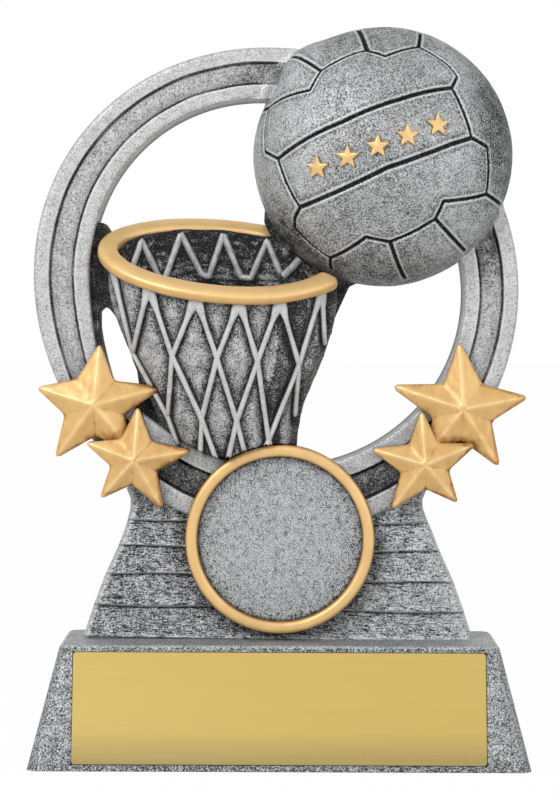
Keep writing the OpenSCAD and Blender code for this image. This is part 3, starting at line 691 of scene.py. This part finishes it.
def make_ball():
    bm = bmesh.new()
    bmesh.ops.create_icosphere(bm, subdivisions=6, radius=1)
    cut = (BACK_Y - 0.1 - BALL[1]) / BALL_DEPTH
    bmesh.ops.bisect_plane(bm, geom=bm.verts[:] + bm.edges[:] + bm.faces[:],
                           plane_co=(0, cut, 0), plane_no=(0, 1, 0), clear_outer=True)
    # the front is cut finer, and finer still along the seams
    halve(bm, [e for e in bm.edges if e.verts[0].co.y < 0.1])
    for reach in (0.95, 0.6):
        q = spots(bm)
        gap, _ = seam_gap(q / np.linalg.norm(q, axis=1)[:, None])
        bm.verts.index_update()
        halve(bm, [e for e in bm.edges if min(gap[v.index] for v in e.verts) < reach])
    bmesh.ops.holes_fill(bm, edges=open_edges(bm))
    q = spots(bm)
    behind = q[:, 1] > cut - 1e-4
    d = q / np.linalg.norm(q, axis=1)[:, None]
    gap, width = seam_gap(d)
    d = np.where(behind[:, None], q, d)
    groove = 0.5 * np.cos(np.pi / 2 * np.clip((gap + width) / (width + 0.06), 0, 1)) ** 1.5
    slump = 0.16 * np.exp(-np.clip(gap, 0, 9) / 0.9)
    p = d * BALL_SIZES + np.array(BALL)
    dents = grain(p, 6.0, 3)
    off_middle = np.hypot(d[:, 0], d[:, 2])
    lip = peak(gap, 0.26, 0.17) * (gap > 0.05)
    sink = np.where(behind, 0, groove + slump + 0.08 * dents
                    - 0.08 * lip * fade(off_middle, 0.85, 0.95))
    out = d / BALL_SIZES
    out /= np.linalg.norm(out, axis=1)[:, None]
    # where the ball meets the top of the arch the casting is filled out to the left
    filled = peak(np.degrees(np.arctan2(d[:, 2], d[:, 0])), 131, 11)
    sink -= 1.15 * filled * smooth(off_middle, 0.8, 0.98) * ~behind
    p = p - out * sink[:, None]
    put(bm, p)
    # dark wash in the seams; painted shade toward the right, the top and the bottom, and a painted
    # highlight on the lit side at the left and in a band right of the middle
    x, z = d[:, 0], d[:, 2]
    wash_and_shade = np.where(gap < 0.02, 1.0, 0.3 * peak(gap, 0.7, 0.4))
    lit = fade(x, -0.75, -0.3) + 0.7 * smooth(x, 0.2, 0.5) * fade(x, 0.6, 0.8)
    wash_and_shade = np.maximum(wash_and_shade, 0.14 + 0.12 * dents + 0.10 * smooth(z, 0.65, 0.95)
                      + 0.36 * smooth(x + 0.25 * z, 0.6, 0.95) + 0.22 * fade(z, -0.9, -0.55)
                      - 0.16 * lit)
    # the side toward the net is darker, in patches
    turned = np.degrees(np.arctan2(-z, -x))
    net_side = smooth(off_middle, 0.78, 0.93) * peak(turned, 42, 17)
    wash_and_shade = np.maximum(wash_and_shade, (0.55 + 0.5 * grain(p, 1.6, 3)) * net_side)
    rub_and_highlight = (lip + 0.16 * lit) * (1 - net_side)
    piece("ball_panels", bm, ball_silver, ["ball"], wash_and_shade, rub_and_highlight, 50)


def make_band_stars():
    """Five stars along the band, each standing on the ball with its root sunk in."""
    start, end, count, radius, height = (-0.5, -0.085), (0.42, 0.245), 5, 1.9, 0.6
    root = 0.25
    even = [(math.sin(k * math.tau / 5), math.cos(k * math.tau / 5)) for k in range(5)]
    row, marks = [], []
    for k in range(count):
        share = [start[i] + (end[i] - start[i]) * k / (count - 1) for i in (0, 1)]
        place = seen_on_ball(share)
        out = Vector(place / BALL_SIZES).normalized()
        bm = star_shape(star_rim(even, radius, 0.46), height + root, 0.12, 1, 0.16)
        turn = Vector((0, -1, 0)).rotation_difference(out).to_matrix()
        bmesh.ops.rotate(bm, verts=bm.verts, cent=(0, 0, 0), matrix=turn)
        at = Vector(place * BALL_SIZES + np.array(BALL))
        bmesh.ops.translate(bm, verts=bm.verts, vec=at - out * root)
        high = np.array([(v.co - at).dot(out) for v in bm.verts])
        marks.append(fade(high, 0.1, 0.5))
        row.append(bm)
    piece("band_star_row", merged(row), gold_paint, ["ball_band_stars"],
          np.concatenate(marks), 0.3, 50)


# ---- stars ----
def star_rim(tips, radius, notch):
    """A star's outline: its tips, and a notch between each two of them."""
    rim = []
    for k, tip in enumerate(tips):
        rim.append(Vector(tip) * radius)
        middle = Vector(tip).normalized() + Vector(tips[(k + 1) % 5]).normalized()
        rim.append(middle.normalized() * notch * radius)
    return rim


def star_shape(rim, edge, crown, cuts, round_off, settle=0):
    """A star that stands forward of y = 0, with ridges, valleys, blunt tips and a soft edge."""
    blunt = []
    for k, spot in enumerate(rim):
        last, following = rim[k - 1], rim[(k + 1) % 10]
        out = (2 * spot - last - following).normalized() * spot.length
        across = (last - following).normalized() * spot.length
        blunt += [spot] if k % 2 else [spot - 0.02 * out + 0.045 * across, spot + 0.015 * out,
                                       spot - 0.02 * out - 0.045 * across]
    bm = bmesh.new()
    bmesh.ops.create_circle(bm, cap_ends=True, cap_tris=True, segments=len(blunt), radius=1)
    ring = sorted((v for v in bm.verts if len(v.link_faces) == 2),
                  key=lambda v: -math.atan2(v.co.y, v.co.x))
    for v, (x, z) in zip(ring, blunt):
        v.co = (x, -edge, z)
    hub = next(v for v in bm.verts if len(v.link_faces) == len(blunt))
    hub.co = (0, -edge - crown, 0)
    grown = bmesh.ops.extrude_edge_only(bm, edges=open_edges(bm))
    for v in grown_verts(grown):
        v.co.y = 0
    bmesh.ops.contextual_create(bm, geom=open_edges(bm))
    bmesh.ops.recalc_face_normals(bm, faces=bm.faces)
    brim = [e for e in bm.edges if all(abs(v.co.y + edge) < 1e-4 for v in e.verts)]
    soften(bm, brim, round_off, 3, clamp_overlap=True)
    cut_up(bm)
    for _ in range(cuts):
        halve(bm, bm.edges)
    for _ in range(settle):
        bmesh.ops.smooth_vert(bm, verts=[v for v in bm.verts if v.co.y < -0.3], factor=0.5,
                              use_axis_x=True, use_axis_y=True, use_axis_z=True)
    return bm


def flat_line(points, closed=False):
    """A polyline in the plane y = 0, as nearest() takes it."""
    line = [np.array([x, 0, z]) for x, z in points]
    return line + line[:1] if closed else line


def make_star(node):
    x, z, radius, notch, edge, tips = STARS[node]
    rim = star_rim(tips, radius, notch)
    bm = star_shape(rim, edge, STAR_CROWN, 4, 0.3, 3)
    flat = spots(bm)
    in_plane = flat * (1, 0, 1)
    p = flat + (x, FRONT_Y, z)
    uneven = grain(p, 2.4, 3)
    top = smooth(-flat[:, 1], edge * 0.7, edge * 1.01)
    p[:, 1] += 0.09 * uneven * top
    put(bm, p)
    brim = nearest(in_plane, [flat_line(rim, True)])
    ridge, valley = [nearest(in_plane, [flat_line([(0, 0), tip]) for tip in rim[k::2]])
                     for k in (0, 1)]
    # wash on the walls, along the outline and in the valleys; the outline is darker at its lower
    # right as painted shade
    shaded = smooth(flat[:, 0] - flat[:, 2], -0.2 * radius, 0.5 * radius)
    wash_and_shade = np.maximum((1 - top) * 0.95, (0.22 + 0.3 * shaded) * peak(brim, 0, 0.4)
                      + 0.28 * peak(valley, 0, 0.3) + 0.16 * smooth(uneven, 0.0, 0.7))
    if node.endswith("large"):
        # brown wash and a painted shadow gather where the small star lies over the large one
        ox, oz, other_r, other_notch, _, other_tips = STARS[node.replace("large", "small")]
        outline = star_rim(other_tips, other_r, other_notch)
        moved = [(a + ox - x, b + oz - z) for a, b in outline]
        near = nearest(in_plane, [flat_line(moved, True)])
        wash_and_shade = np.maximum(wash_and_shade, (0.55 + 0.2 * uneven) * peak(near, 0, 1.6) * top)
    rub_and_highlight = top * (0.5 + 0.3 * uneven) * peak(ridge, 0, 0.4)
    piece(node + "_cast", bm, gold_paint, [node], wash_and_shade, rub_and_highlight, 40)


# ---- medallion ----
def make_medallion():
    bm = bmesh.new()
    spun(bm, [(0, MEDAL_FLOOR - 0.05), (9, MEDAL_FLOOR - 0.03), (12.9, MEDAL_FLOOR),
              (MEDAL_R - 0.1, MEDAL_FLOOR), (MEDAL_R - 0.1, MEDAL_BACK), (0, MEDAL_BACK)])
    p = spots(bm)
    r = np.hypot(p[:, 0], p[:, 2] - MEDAL_Z)
    wash_and_shade = (0.02 + 0.08 * smooth(r, 6, 13.2) + 0.25 * smooth(r, 12.7, 13.3)
            + 0.5 * smooth(r, 13.2, RECESS_R))
    piece("medallion_floor", bm, medal_silver, ["medallion_disc"], wash_and_shade, 0.1, 50)

    bm = bmesh.new()
    half = [(0, MEDAL_FLOOR), (0.02, MEDAL_FRONT + 0.7), (0.22, MEDAL_FRONT + 0.2),
            (0.6, MEDAL_FRONT)]
    spun(bm, [(RECESS_R + off, y) for off, y in half]
         + [(MEDAL_R - off, y) for off, y in reversed(half)], closed=True, cuts=2)
    p = spots(bm)
    r = np.hypot(p[:, 0], p[:, 2] - MEDAL_Z)
    uneven = grain(p, 4.0, 2)
    p[:, 1] += 0.07 * uneven * (p[:, 1] < -4.5)
    put(bm, p)
    edges = sum(peak(r, at, 0.14) for at in (MEDAL_R, RECESS_R))
    wash_and_shade = 0.75 * np.maximum(smooth(p[:, 1], -5.35, -4.3), edges)
    piece("medallion_ring", bm, gold_paint, ["medallion_rim"], wash_and_shade,
          0.35 * fade(p[:, 1], -5.7, -5.3), 50)


def spun(bm, profile, closed=False, cuts=3):
    """Turns a profile of (radius, y) about the medallion's middle."""
    line = [bm.verts.new((r, y, MEDAL_Z)) for r, y in profile]
    edges = [bm.edges.new(pair) for pair in zip(line, line[1:] + (line[:1] if closed else []))]
    bmesh.ops.subdivide_edges(bm, edges=edges, cuts=cuts)
    bmesh.ops.spin(bm, geom=bm.verts[:] + bm.edges[:], cent=(0, 0, MEDAL_Z), axis=(0, 1, 0),
                   angle=2 * math.pi, steps=200, use_merge=True)
    close(bm)


# ---- net ----
def form(height, column):
    """The net's form at a height, eased between the rows of its table."""
    rows = [np.interp(height + step, NET_FORM[:, 0], NET_FORM[:, column])
            for step in (-0.05, 0, 0.05)]
    return (rows[0] + 2 * rows[1] + rows[2]) / 4


def net_point(angle, height, lift=0.0):
    """Places on the net at angles and height shares, lifted that far off its surface."""
    c, s = np.cos(np.radians(angle)), np.sin(np.radians(angle))
    tilt = HOOP_RISE * s - HOOP_LEAN * c
    return np.stack([
        HOOP[0] + (form(height, 1) * c + form(height, 2)) * HOOP_W / 2 + lift * c,
        HOOP[1] + (form(height, 3) * s + form(height, 4)) * HOOP_D / 2 + lift * s,
        NET_FOOT + height * (HOOP[2] - NET_FOOT) + height * tilt / 2], 1)


# the cords' knots as (angle round the net, share of its height): where they leave the rim, cross,
# and reach the foot when they run down to the left or the right, then the two inside the mouth
RIM_ANGLES = [190, 230, 257, 279, 301, 332]
KNOTS = [(195, 0.57), (239, 0.63), (266, 0.65), (289, 0.64), (319, 0.6), (347, 0.66)]
LOW_KNOTS = [(213, 0.29), (250, 0.31), (278, 0.31), (306, 0.2), (340, 0.3)]
LEFT_FEET, RIGHT_FEET = [232, 260, 291], [212, 255, 284, 320]
INSIDE = [(164, 0.83), (144, 0.965), (131, 0.80), (127, 0.79), (115, 0.965), (103, 0.80),
          (99, 0.79), (90, 0.965), (80, 0.80), (74, 0.80), (64, 0.97), (54.5, 0.84)]
STUB = [(53, 0.84), (46, 0.89), (39.5, 0.945)]


def cord_runs():
    """Each outside cord as the (angle, height) knots that it passes."""
    runs = []
    for i in range(1, 6):
        runs.append([(RIM_ANGLES[i], 0.97), KNOTS[i - 1]]
                    + ([LOW_KNOTS[i - 2]] if i > 1 else [])
                    + ([(LEFT_FEET[i - 3], 0.03)] if i > 2 else []))
    for i in range(6):
        runs.append([(RIM_ANGLES[i], 0.97), KNOTS[i]] + ([LOW_KNOTS[i]] if i < 5 else [])
                    + ([(RIGHT_FEET[i], 0.03)] if i < 4 else []))
    return runs


def walk(run, steps):
    """Angles and heights along a run of knots, straight between them as seen from the front."""
    run = np.array(run, float)
    along, knots = np.linspace(0, len(run) - 1, steps), range(len(run))
    angle, height = [np.interp(along, knots, run[:, k]) for k in (0, 1)]
    ends = net_point(run[:, 0], run[:, 1])
    x, z = [np.interp(along, knots, ends[:, k]) for k in (0, 2)]
    in_front = angle > 180
    for _ in range(30):
        c = ((x - HOOP[0]) / (HOOP_W / 2) - form(height, 2)) / form(height, 1)
        turn = np.degrees(np.arccos(np.clip(c, -1, 1)))
        angle = 0.5 * angle + 0.5 * np.where(in_front, 360 - turn, turn)
        tilt = HOOP_RISE * np.sin(np.radians(angle)) - HOOP_LEAN * np.cos(np.radians(angle))
        height = 0.5 * height + 0.5 * (z - NET_FOOT) / (HOOP[2] - NET_FOOT + tilt / 2)
    return angle, height


def over_foot(p):
    """Height above the line along which the net meets the arch at its foot."""
    return p[:, 2] - np.interp(p[:, 0], [-20, -16.6, -14, -10.6], [52.8, 51.4, 50.8, 49.5])


def within_star(p, node):
    """Which places lie behind a star, as seen straight from the front."""
    x, z, radius, notch, _, tips = STARS[node]
    rim = star_rim(tips, radius, notch)
    off = p[:, [0, 2]] - (x, z)
    within = np.zeros(len(p), bool)
    for a, b in zip(rim, rim[1:] + rim[:1]):
        # inside the triangle between the middle and this side of the outline
        turn = a[0] * b[1] - a[1] * b[0]
        first = (off[:, 0] * b[1] - off[:, 1] * b[0]) / turn
        second = (a[0] * off[:, 1] - a[1] * off[:, 0]) / turn
        within |= (first > -0.02) & (second > -0.02) & (first + second < 1.02)
    return within


def behind_others(p):
    """Pushes places back where the arch, the medallion or a star at the left covers the net."""
    p[:, 1] = np.where((over_foot(p) < 0) & (p[:, 0] < -6), np.maximum(p[:, 1], -2.4), p[:, 1])
    p[:, 1] = np.where(np.hypot(p[:, 0], p[:, 2] - MEDAL_Z) < MEDAL_R + 0.05,
                       np.maximum(p[:, 1], -0.5), p[:, 1])
    for node in ("star_left_large", "star_left_small"):
        p[:, 1] = np.where(within_star(p, node), np.maximum(p[:, 1], FRONT_Y), p[:, 1])
    return p


def make_net():
    lines = [net_point(*walk(run, 16)) for run in cord_runs()]
    inner = [net_point(*walk(run, 67), -NET_WALL) for run in (INSIDE, STUB)]
    # up the outside, over the edge, down the inside and in to the middle of the floor
    steps = [0, 0.62, 0.64, 0.66, 0.93, 1]
    marks = []

    def place(u, v):
        angle = 360 * u
        height = np.interp(v, steps, [0, 0.955, 0.968, 0.955, NET_FLOOR + 0.01, NET_FLOOR])
        # at the back the net's edge reaches the underside of the hoop
        reach_up = smooth(np.sin(np.radians(angle)), 0.0, 0.4)
        beside_ball = smooth(angle, 20, 45) * fade(angle, 56, 63)
        height += (0.025 * reach_up + 0.04 * beside_ball) * smooth(height, 0.8, 0.95)
        lift = np.interp(v, steps, [0, 0, -0.6, -NET_WALL, -NET_WALL, -NET_WALL])
        p = net_point(angle, height, lift)
        outside = v < 0.63
        d = np.where(outside, nearest(p, lines), nearest(p, inner))
        swell = smooth(d, 0.3, 2.4)
        lumps = np.where(outside, grain(p, 1.5, 3), grain(p * (0.22, 0.5, 2.4), 1.0, 3))
        out = np.where(outside, 0.75 * swell - 0.35, 0.25 * swell)
        out = lift + out * smooth(v, 0, 0.04) + 0.07 * lumps
        out = np.where(outside, out * (1 - 0.9 * smooth(v, 0.57, 0.62)), out)
        p = net_point(angle, height, out)
        middle = net_point(np.array([0.0, 180.0]), np.full(2, NET_FLOOR), -NET_WALL).mean(0)
        deep = smooth(v, 0.93, 1.0)[:, None]
        p = p * (1 - deep) + middle * deep
        p = np.where(v[:, None] < 0.001, net_point(angle, height * 0).mean(0)[None, :], p)
        p = behind_others(inside_arch(p, 1.004))
        # painted shade on the net's right flank, on its left flank and where it meets the arch at
        # the left, and a painted shadow under the rim; it is also darker along its foot at the
        # arch
        side = smooth((angle - 318) % 360, 0, 25) * (angle > 300)
        left = fade(angle, 192, 206) * (angle > 170) * fade(height, 0.6, 0.75)
        left = np.maximum(left, fade(p[:, 0], -18.5, -16.2) * fade(p[:, 2], 58, 63))
        foot = peak(np.clip(over_foot(p), 0, 9), 0, 1.5) * (p[:, 0] < -8)
        under_rim = smooth(height, 0.84, 0.95)
        # inside, one spot beside the ball is lighter
        bright = peak(p[:, 0], 0.6, 1.5) * peak(p[:, 2], 83, 1.6)
        # outside, wash along the cords; inside, dark wash in streaks with painted shade, and a
        # painted shadow low down, just above the front rim
        marks.append(np.where(
            outside,
            0.09 + 0.9 * peak(d, 0, 1.1) + 0.35 * under_rim + 0.45 * side
            + 0.5 * left + 0.5 * foot + 0.14 * lumps,
            0.52 + 0.35 * peak(d, 0.7, 0.4) + 0.5 * under_rim * (1 + 0.6 * lumps)
            + 0.8 * lumps + 0.4 * fade(height, 0.76, 0.79) - 0.45 * bright))
        marks.append(np.where(outside, 0.3 * swell * fade(lumps, -0.5, 0.5) * (1 - side), 0))
        return p

    bm = sheet(300, 190, place)
    wash_and_shade, rub_and_highlight = close(bm, *marks)
    piece("net_body", bm, net_silver, ["net_basket"], wash_and_shade, rub_and_highlight, 70)


def cord_strand(angle, height, lift, width, thick, seed):
    """A flattened cord along the net's surface, with closed ends."""
    step = 0.5
    path = net_point(angle, height, lift)
    across_angle = net_point(angle + step, height, lift) - net_point(angle - step, height, lift)
    up = net_point(angle, height + 0.01, lift) - net_point(angle, height - 0.01, lift)
    out = np.cross(across_angle, up)
    out /= np.linalg.norm(out, axis=1)[:, None]
    way = np.gradient(path, axis=0)
    way /= np.linalg.norm(way, axis=1)[:, None]
    side = np.cross(way, out)
    side /= np.linalg.norm(side, axis=1)[:, None]
    count = len(path)
    sway = np.array([noise.fractal(Vector((k * 0.12, seed * 7.3, 0)), 0.8, 2.0, 2)
                     for k in range(count)])
    width = width * (1 + 0.16 * sway)

    def place(u, v):
        k = np.clip(np.rint(u * (count - 1)).astype(int), 0, count - 1)
        around = 2 * math.pi * v
        end = np.minimum(u, 1 - u) * (count - 1)
        close_in = np.where(end < 0.5, 0.0, np.where(end < 1.5, 0.75, 1.0))
        return (path[k] + side[k] * (width[k] * close_in * np.cos(around))[:, None]
                + out[k] * (thick * close_in * np.sin(around) * (1 + 0.1 * sway[k]))[:, None])

    bm = sheet(count - 1, 12, place)
    close(bm)
    return bm


def make_cords():
    strands = []
    for seed, run in enumerate(cord_runs()):
        angle, height = walk(run, 70)
        flare = 1 + 1.1 * smooth(height, 0.84, 0.95)
        strands.append(cord_strand(angle, height, 0.02, 0.42 * flare, 0.42, seed))
    bm = merged(strands)
    p = behind_others(spots(bm))
    put(bm, p)
    piece("net_cords", bm, cord_silver, ["net_cords_front"],
          0.08 + 0.2 * grain(p, 2.0, 2), 0.2, 70)
    strands = []
    for run, width in ((INSIDE, 0.52), (STUB, 0.66)):
        angle, height = walk(run, 220)
        strands.append(cord_strand(angle, height, -NET_WALL - 0.1, np.full(220, width), 0.45, 40))
    bm = merged(strands)
    piece("net_cord_in_mouth", bm, cord_silver, ["net_cords_inside"],
          0.16 + 0.3 * grain(spots(bm), 1.2, 3), 0.15, 70)


# ---- hoop ----
def make_hoop():
    across = np.array([HOOP_W, 0, -HOOP_LEAN])
    axis = np.cross(across, [0, HOOP_D, HOOP_RISE])
    axis /= np.linalg.norm(axis)
    count = 260
    marks = []

    def place(u, v):
        angle = np.radians(HOOP_START + (HOOP_END - HOOP_START) * u)
        c, s = np.cos(angle), np.sin(angle)
        # the back hangs a little, and the front lifts a little toward the ball
        sag = -0.3 * np.clip(s, 0, 1) + 0.25 * smooth(np.degrees(angle), 290, 325)
        mid = np.stack([HOOP[0] + HOOP_W / 2 * c, HOOP[1] + HOOP_D / 2 * s,
                        HOOP[2] + (HOOP_RISE * s - HOOP_LEAN * c) / 2 + sag], 1)
        way = np.stack([-HOOP_W * s, HOOP_D * c, HOOP_RISE * c + HOOP_LEAN * s], 1)
        way /= np.linalg.norm(way, axis=1)[:, None]
        out = np.cross(axis, way)
        size = (1 + BACK_SHARE) / 2 - (1 - BACK_SHARE) / 2 * s
        uneven = np.array([noise.fractal(Vector((a * 2.2, 3.1, 0)), 0.8, 2.0, 3) for a in angle])
        size = size * (1 + 0.05 * uneven) * (1 + 0.1 * smooth(np.degrees(angle), 315, 335))
        end = np.clip(np.minimum(u, 1 - u) * (count - 1) / 6, 0, 1)
        size = size * np.sqrt(end * (2 - end))
        around = 2 * math.pi * v
        # the section is a rounded square, as a hand-painted cast ring shows
        cc, ss = np.cos(around), np.sin(around)
        square = (np.abs(cc) ** 3 + np.abs(ss) ** 3) ** (-1 / 3)
        up = ss * np.sign(axis[2])
        # painted shade on the underside, a little darker on the outer face at the back, unevenly
        # painted; a painted highlight along the top
        marks.append(0.85 * fade(up, -0.95, -0.5) + 0.2 * smooth(cc, 0.6, 1.0) * (s > 0.2)
                     + 0.1 * uneven)
        marks.append(0.45 * smooth(up, 0.2, 0.8))
        return mid + (size * square)[:, None] * (out * (RIM_A * 0.97 * cc)[:, None]
                                                 + axis * (RIM_B * 0.97 * ss)[:, None])

    bm = sheet(count, 28, place)
    wash_and_shade, rub_and_highlight = close(bm, *marks)
    piece("hoop_ring", bm, gold_paint, ["hoop_rim"], wash_and_shade, rub_and_highlight, 70)


# ---- webs ----
def make_web(name, node, shares, front=-1.5):
    """A rough lump of casting that fills the space between other pieces."""
    bm = bmesh.new()
    outline = [bm.verts.new((HOOP[0] - HOOP_W / 2 + a * HOOP_W, front, HOOP[2] + b * HOOP_W / 2))
               for a, b in shares]
    face = bm.faces.new(outline)
    grown = bmesh.ops.extrude_face_region(bm, geom=[face])
    for v in grown_verts(grown):
        v.co.y = BACK_Y - 0.15
    bmesh.ops.recalc_face_normals(bm, faces=bm.faces)
    soften(bm, bm.edges[:], 0.25, 2, clamp_overlap=True)
    cut_up(bm)
    for _ in range(6):
        halve(bm, [e for e in bm.edges if e.calc_length() > 0.7])
    p = spots(bm)
    lumps = grain(p, 2.2, 3)
    p[:, 1] += 0.25 * lumps * fade(p[:, 1], 2, 6)
    # beside the hoop's left end it falls away behind the rim
    away = smooth(p[:, 0], -29.3, -27.3) * (p[:, 0] < HOOP[0]) * smooth(p[:, 2], 78, 80)
    p[:, 1] = np.maximum(p[:, 1], front + 6.5 * away)
    put(bm, p)
    # dark all over: the wash in these deep gaps, with painted shade
    piece(name, bm, net_silver, [node], 0.84 + 0.45 * lumps, 0.0, 60)


# outlines as shares: of the hoop's width from its left end, and of half of it up from its middle
LEFT_WEB = [
    (-0.15, 0.34), (-0.02, 0.32), (0.02, 0.2), (0.04, 0), (0.1, -0.3), (0.25, -1.1), (0.33, -1.5),
    (0.06, -1.5), (0.045, -1.14), (0.137, -1.14), (0.12, -0.9), (0.073, -0.71), (0.032, -0.5),
    (0.003, -0.43), (-0.02, -0.414), (-0.043, -0.455), (-0.042, -0.6), (-0.033, -0.715),
    (-0.012, -0.89), (0.018, -1.1), (0.02, -1.35), (-0.15, -1.2)]
BALL_WEB = [
    (0.70, 0.56), (0.9, 0.5), (1.2, 0.03), (1.1, -0.19), (1.055, -0.23), (1.013, -0.414),
    (0.978, -0.57), (0.982, -0.634), (0.95, -0.72), (0.9, -0.75), (0.9, -0.5), (0.92, -0.2),
    (0.897, -0.08), (0.844, 0.011), (0.76, 0.12), (0.70, 0.25), (0.68, 0.34), (0.684, 0.45)]

make_plinth()
make_plate()
make_pedestal()
make_arch()
make_ball()
make_band_stars()
for label in STARS:
    make_star(label)
make_medallion()
make_net()
make_cords()
make_hoop()
make_web("left_filler", "left_web", LEFT_WEB)
make_web("ball_filler", "ball_web", BALL_WEB)

# the pad and the tape keep their own solids
for node, finish in (("felt_pad", felt), ("nameplate_tape", tape)):
    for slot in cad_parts[node].material_slots:
        slot.material = finish


# ---- camera, floor and light ----
def place_camera():
    lens = bpy.data.cameras.new("camera")
    lens.sensor_fit = "VERTICAL"
    lens.sensor_height = 24
    lens.lens = 12 / math.tan(math.radians(VIEW_HEIGHT / 2))
    camera = bpy.data.objects.new("camera", lens)
    bpy.context.scene.collection.objects.link(camera)
    camera.location = (Vector(EYE) + Vector((EYE_ASIDE, 0, 0))) * MM
    aim = Vector(AIM) * MM - camera.location
    camera.rotation_mode = "QUATERNION"
    camera.rotation_quaternion = aim.to_track_quat("-Z", "Y")
    camera.rotation_mode = "XYZ"
    camera.rotation_euler.rotate_axis("Z", math.radians(ROLL))
    bpy.context.scene.camera = camera


def seen_ray(tree):
    """One where the camera, a mirror or glass looks straight at the surface, else nought."""
    path = tree.nodes.new("ShaderNodeLightPath")
    both = sums(tree, "MAXIMUM", path.outputs["Is Camera Ray"], path.outputs["Is Glossy Ray"])
    return sums(tree, "MAXIMUM", both, path.outputs["Is Transmission Ray"])


def lay_floor():
    """A pale floor that takes the award's shadow and looks near white to the camera."""
    bm = bmesh.new()
    bmesh.ops.create_grid(bm, x_segments=8, y_segments=8, size=4)
    mesh = bpy.data.meshes.new("floor")
    bm.to_mesh(mesh)
    bm.free()
    floor = bpy.data.objects.new("floor", mesh)
    bpy.context.scene.collection.objects.link(floor)
    pale = bpy.data.materials.new("pale_floor")
    pale.use_nodes = True
    tree = pale.node_tree
    for old in list(tree.nodes):
        tree.nodes.remove(old)
    paint = add(tree, "ShaderNodeBsdfDiffuse", Color=(0.9, 0.9, 0.9, 1))
    glow = add(tree, "ShaderNodeEmission")
    mixed = add(tree, "ShaderNodeMixShader")
    out = add(tree, "ShaderNodeOutputMaterial")
    tree.links.new(sums(tree, "MULTIPLY", seen_ray(tree), 0.98), mixed.inputs[0])
    tree.links.new(paint.outputs[0], mixed.inputs[1])
    tree.links.new(glow.outputs[0], mixed.inputs[2])
    tree.links.new(mixed.outputs[0], out.inputs["Surface"])
    mesh.materials.append(pale)


def light_room():
    """A white room, at half its strength on the award itself."""
    world = bpy.data.worlds.new("studio")
    bpy.context.scene.world = world
    world.use_nodes = True
    tree = world.node_tree
    sky = tree.nodes["Background"]
    sky.inputs["Color"].default_value = (1, 1, 1, 1)
    tree.links.new(limits(tree, seen_ray(tree), 0, 1, 0.5, 1.0), sky.inputs["Strength"])


def lamp(name, place, size, power):
    """A square lamp in metres and watts, turned to the award's middle."""
    light = bpy.data.lights.new(name, "AREA")
    light.size = size
    light.energy = power
    made = bpy.data.objects.new(name, light)
    bpy.context.scene.collection.objects.link(made)
    made.location = place
    made.rotation_mode = "QUATERNION"
    made.rotation_quaternion = (Vector((0, 0, 0.065)) - made.location).to_track_quat("-Z", "Y")


place_camera()
bpy.context.scene.view_settings.view_transform = "Standard"
lay_floor()
light_room()
lamp("key", (-0.38, -0.62, 0.52), 0.4, 4.2)
lamp("fill", (0.5, -0.6, 0.25), 0.5, 1.4)
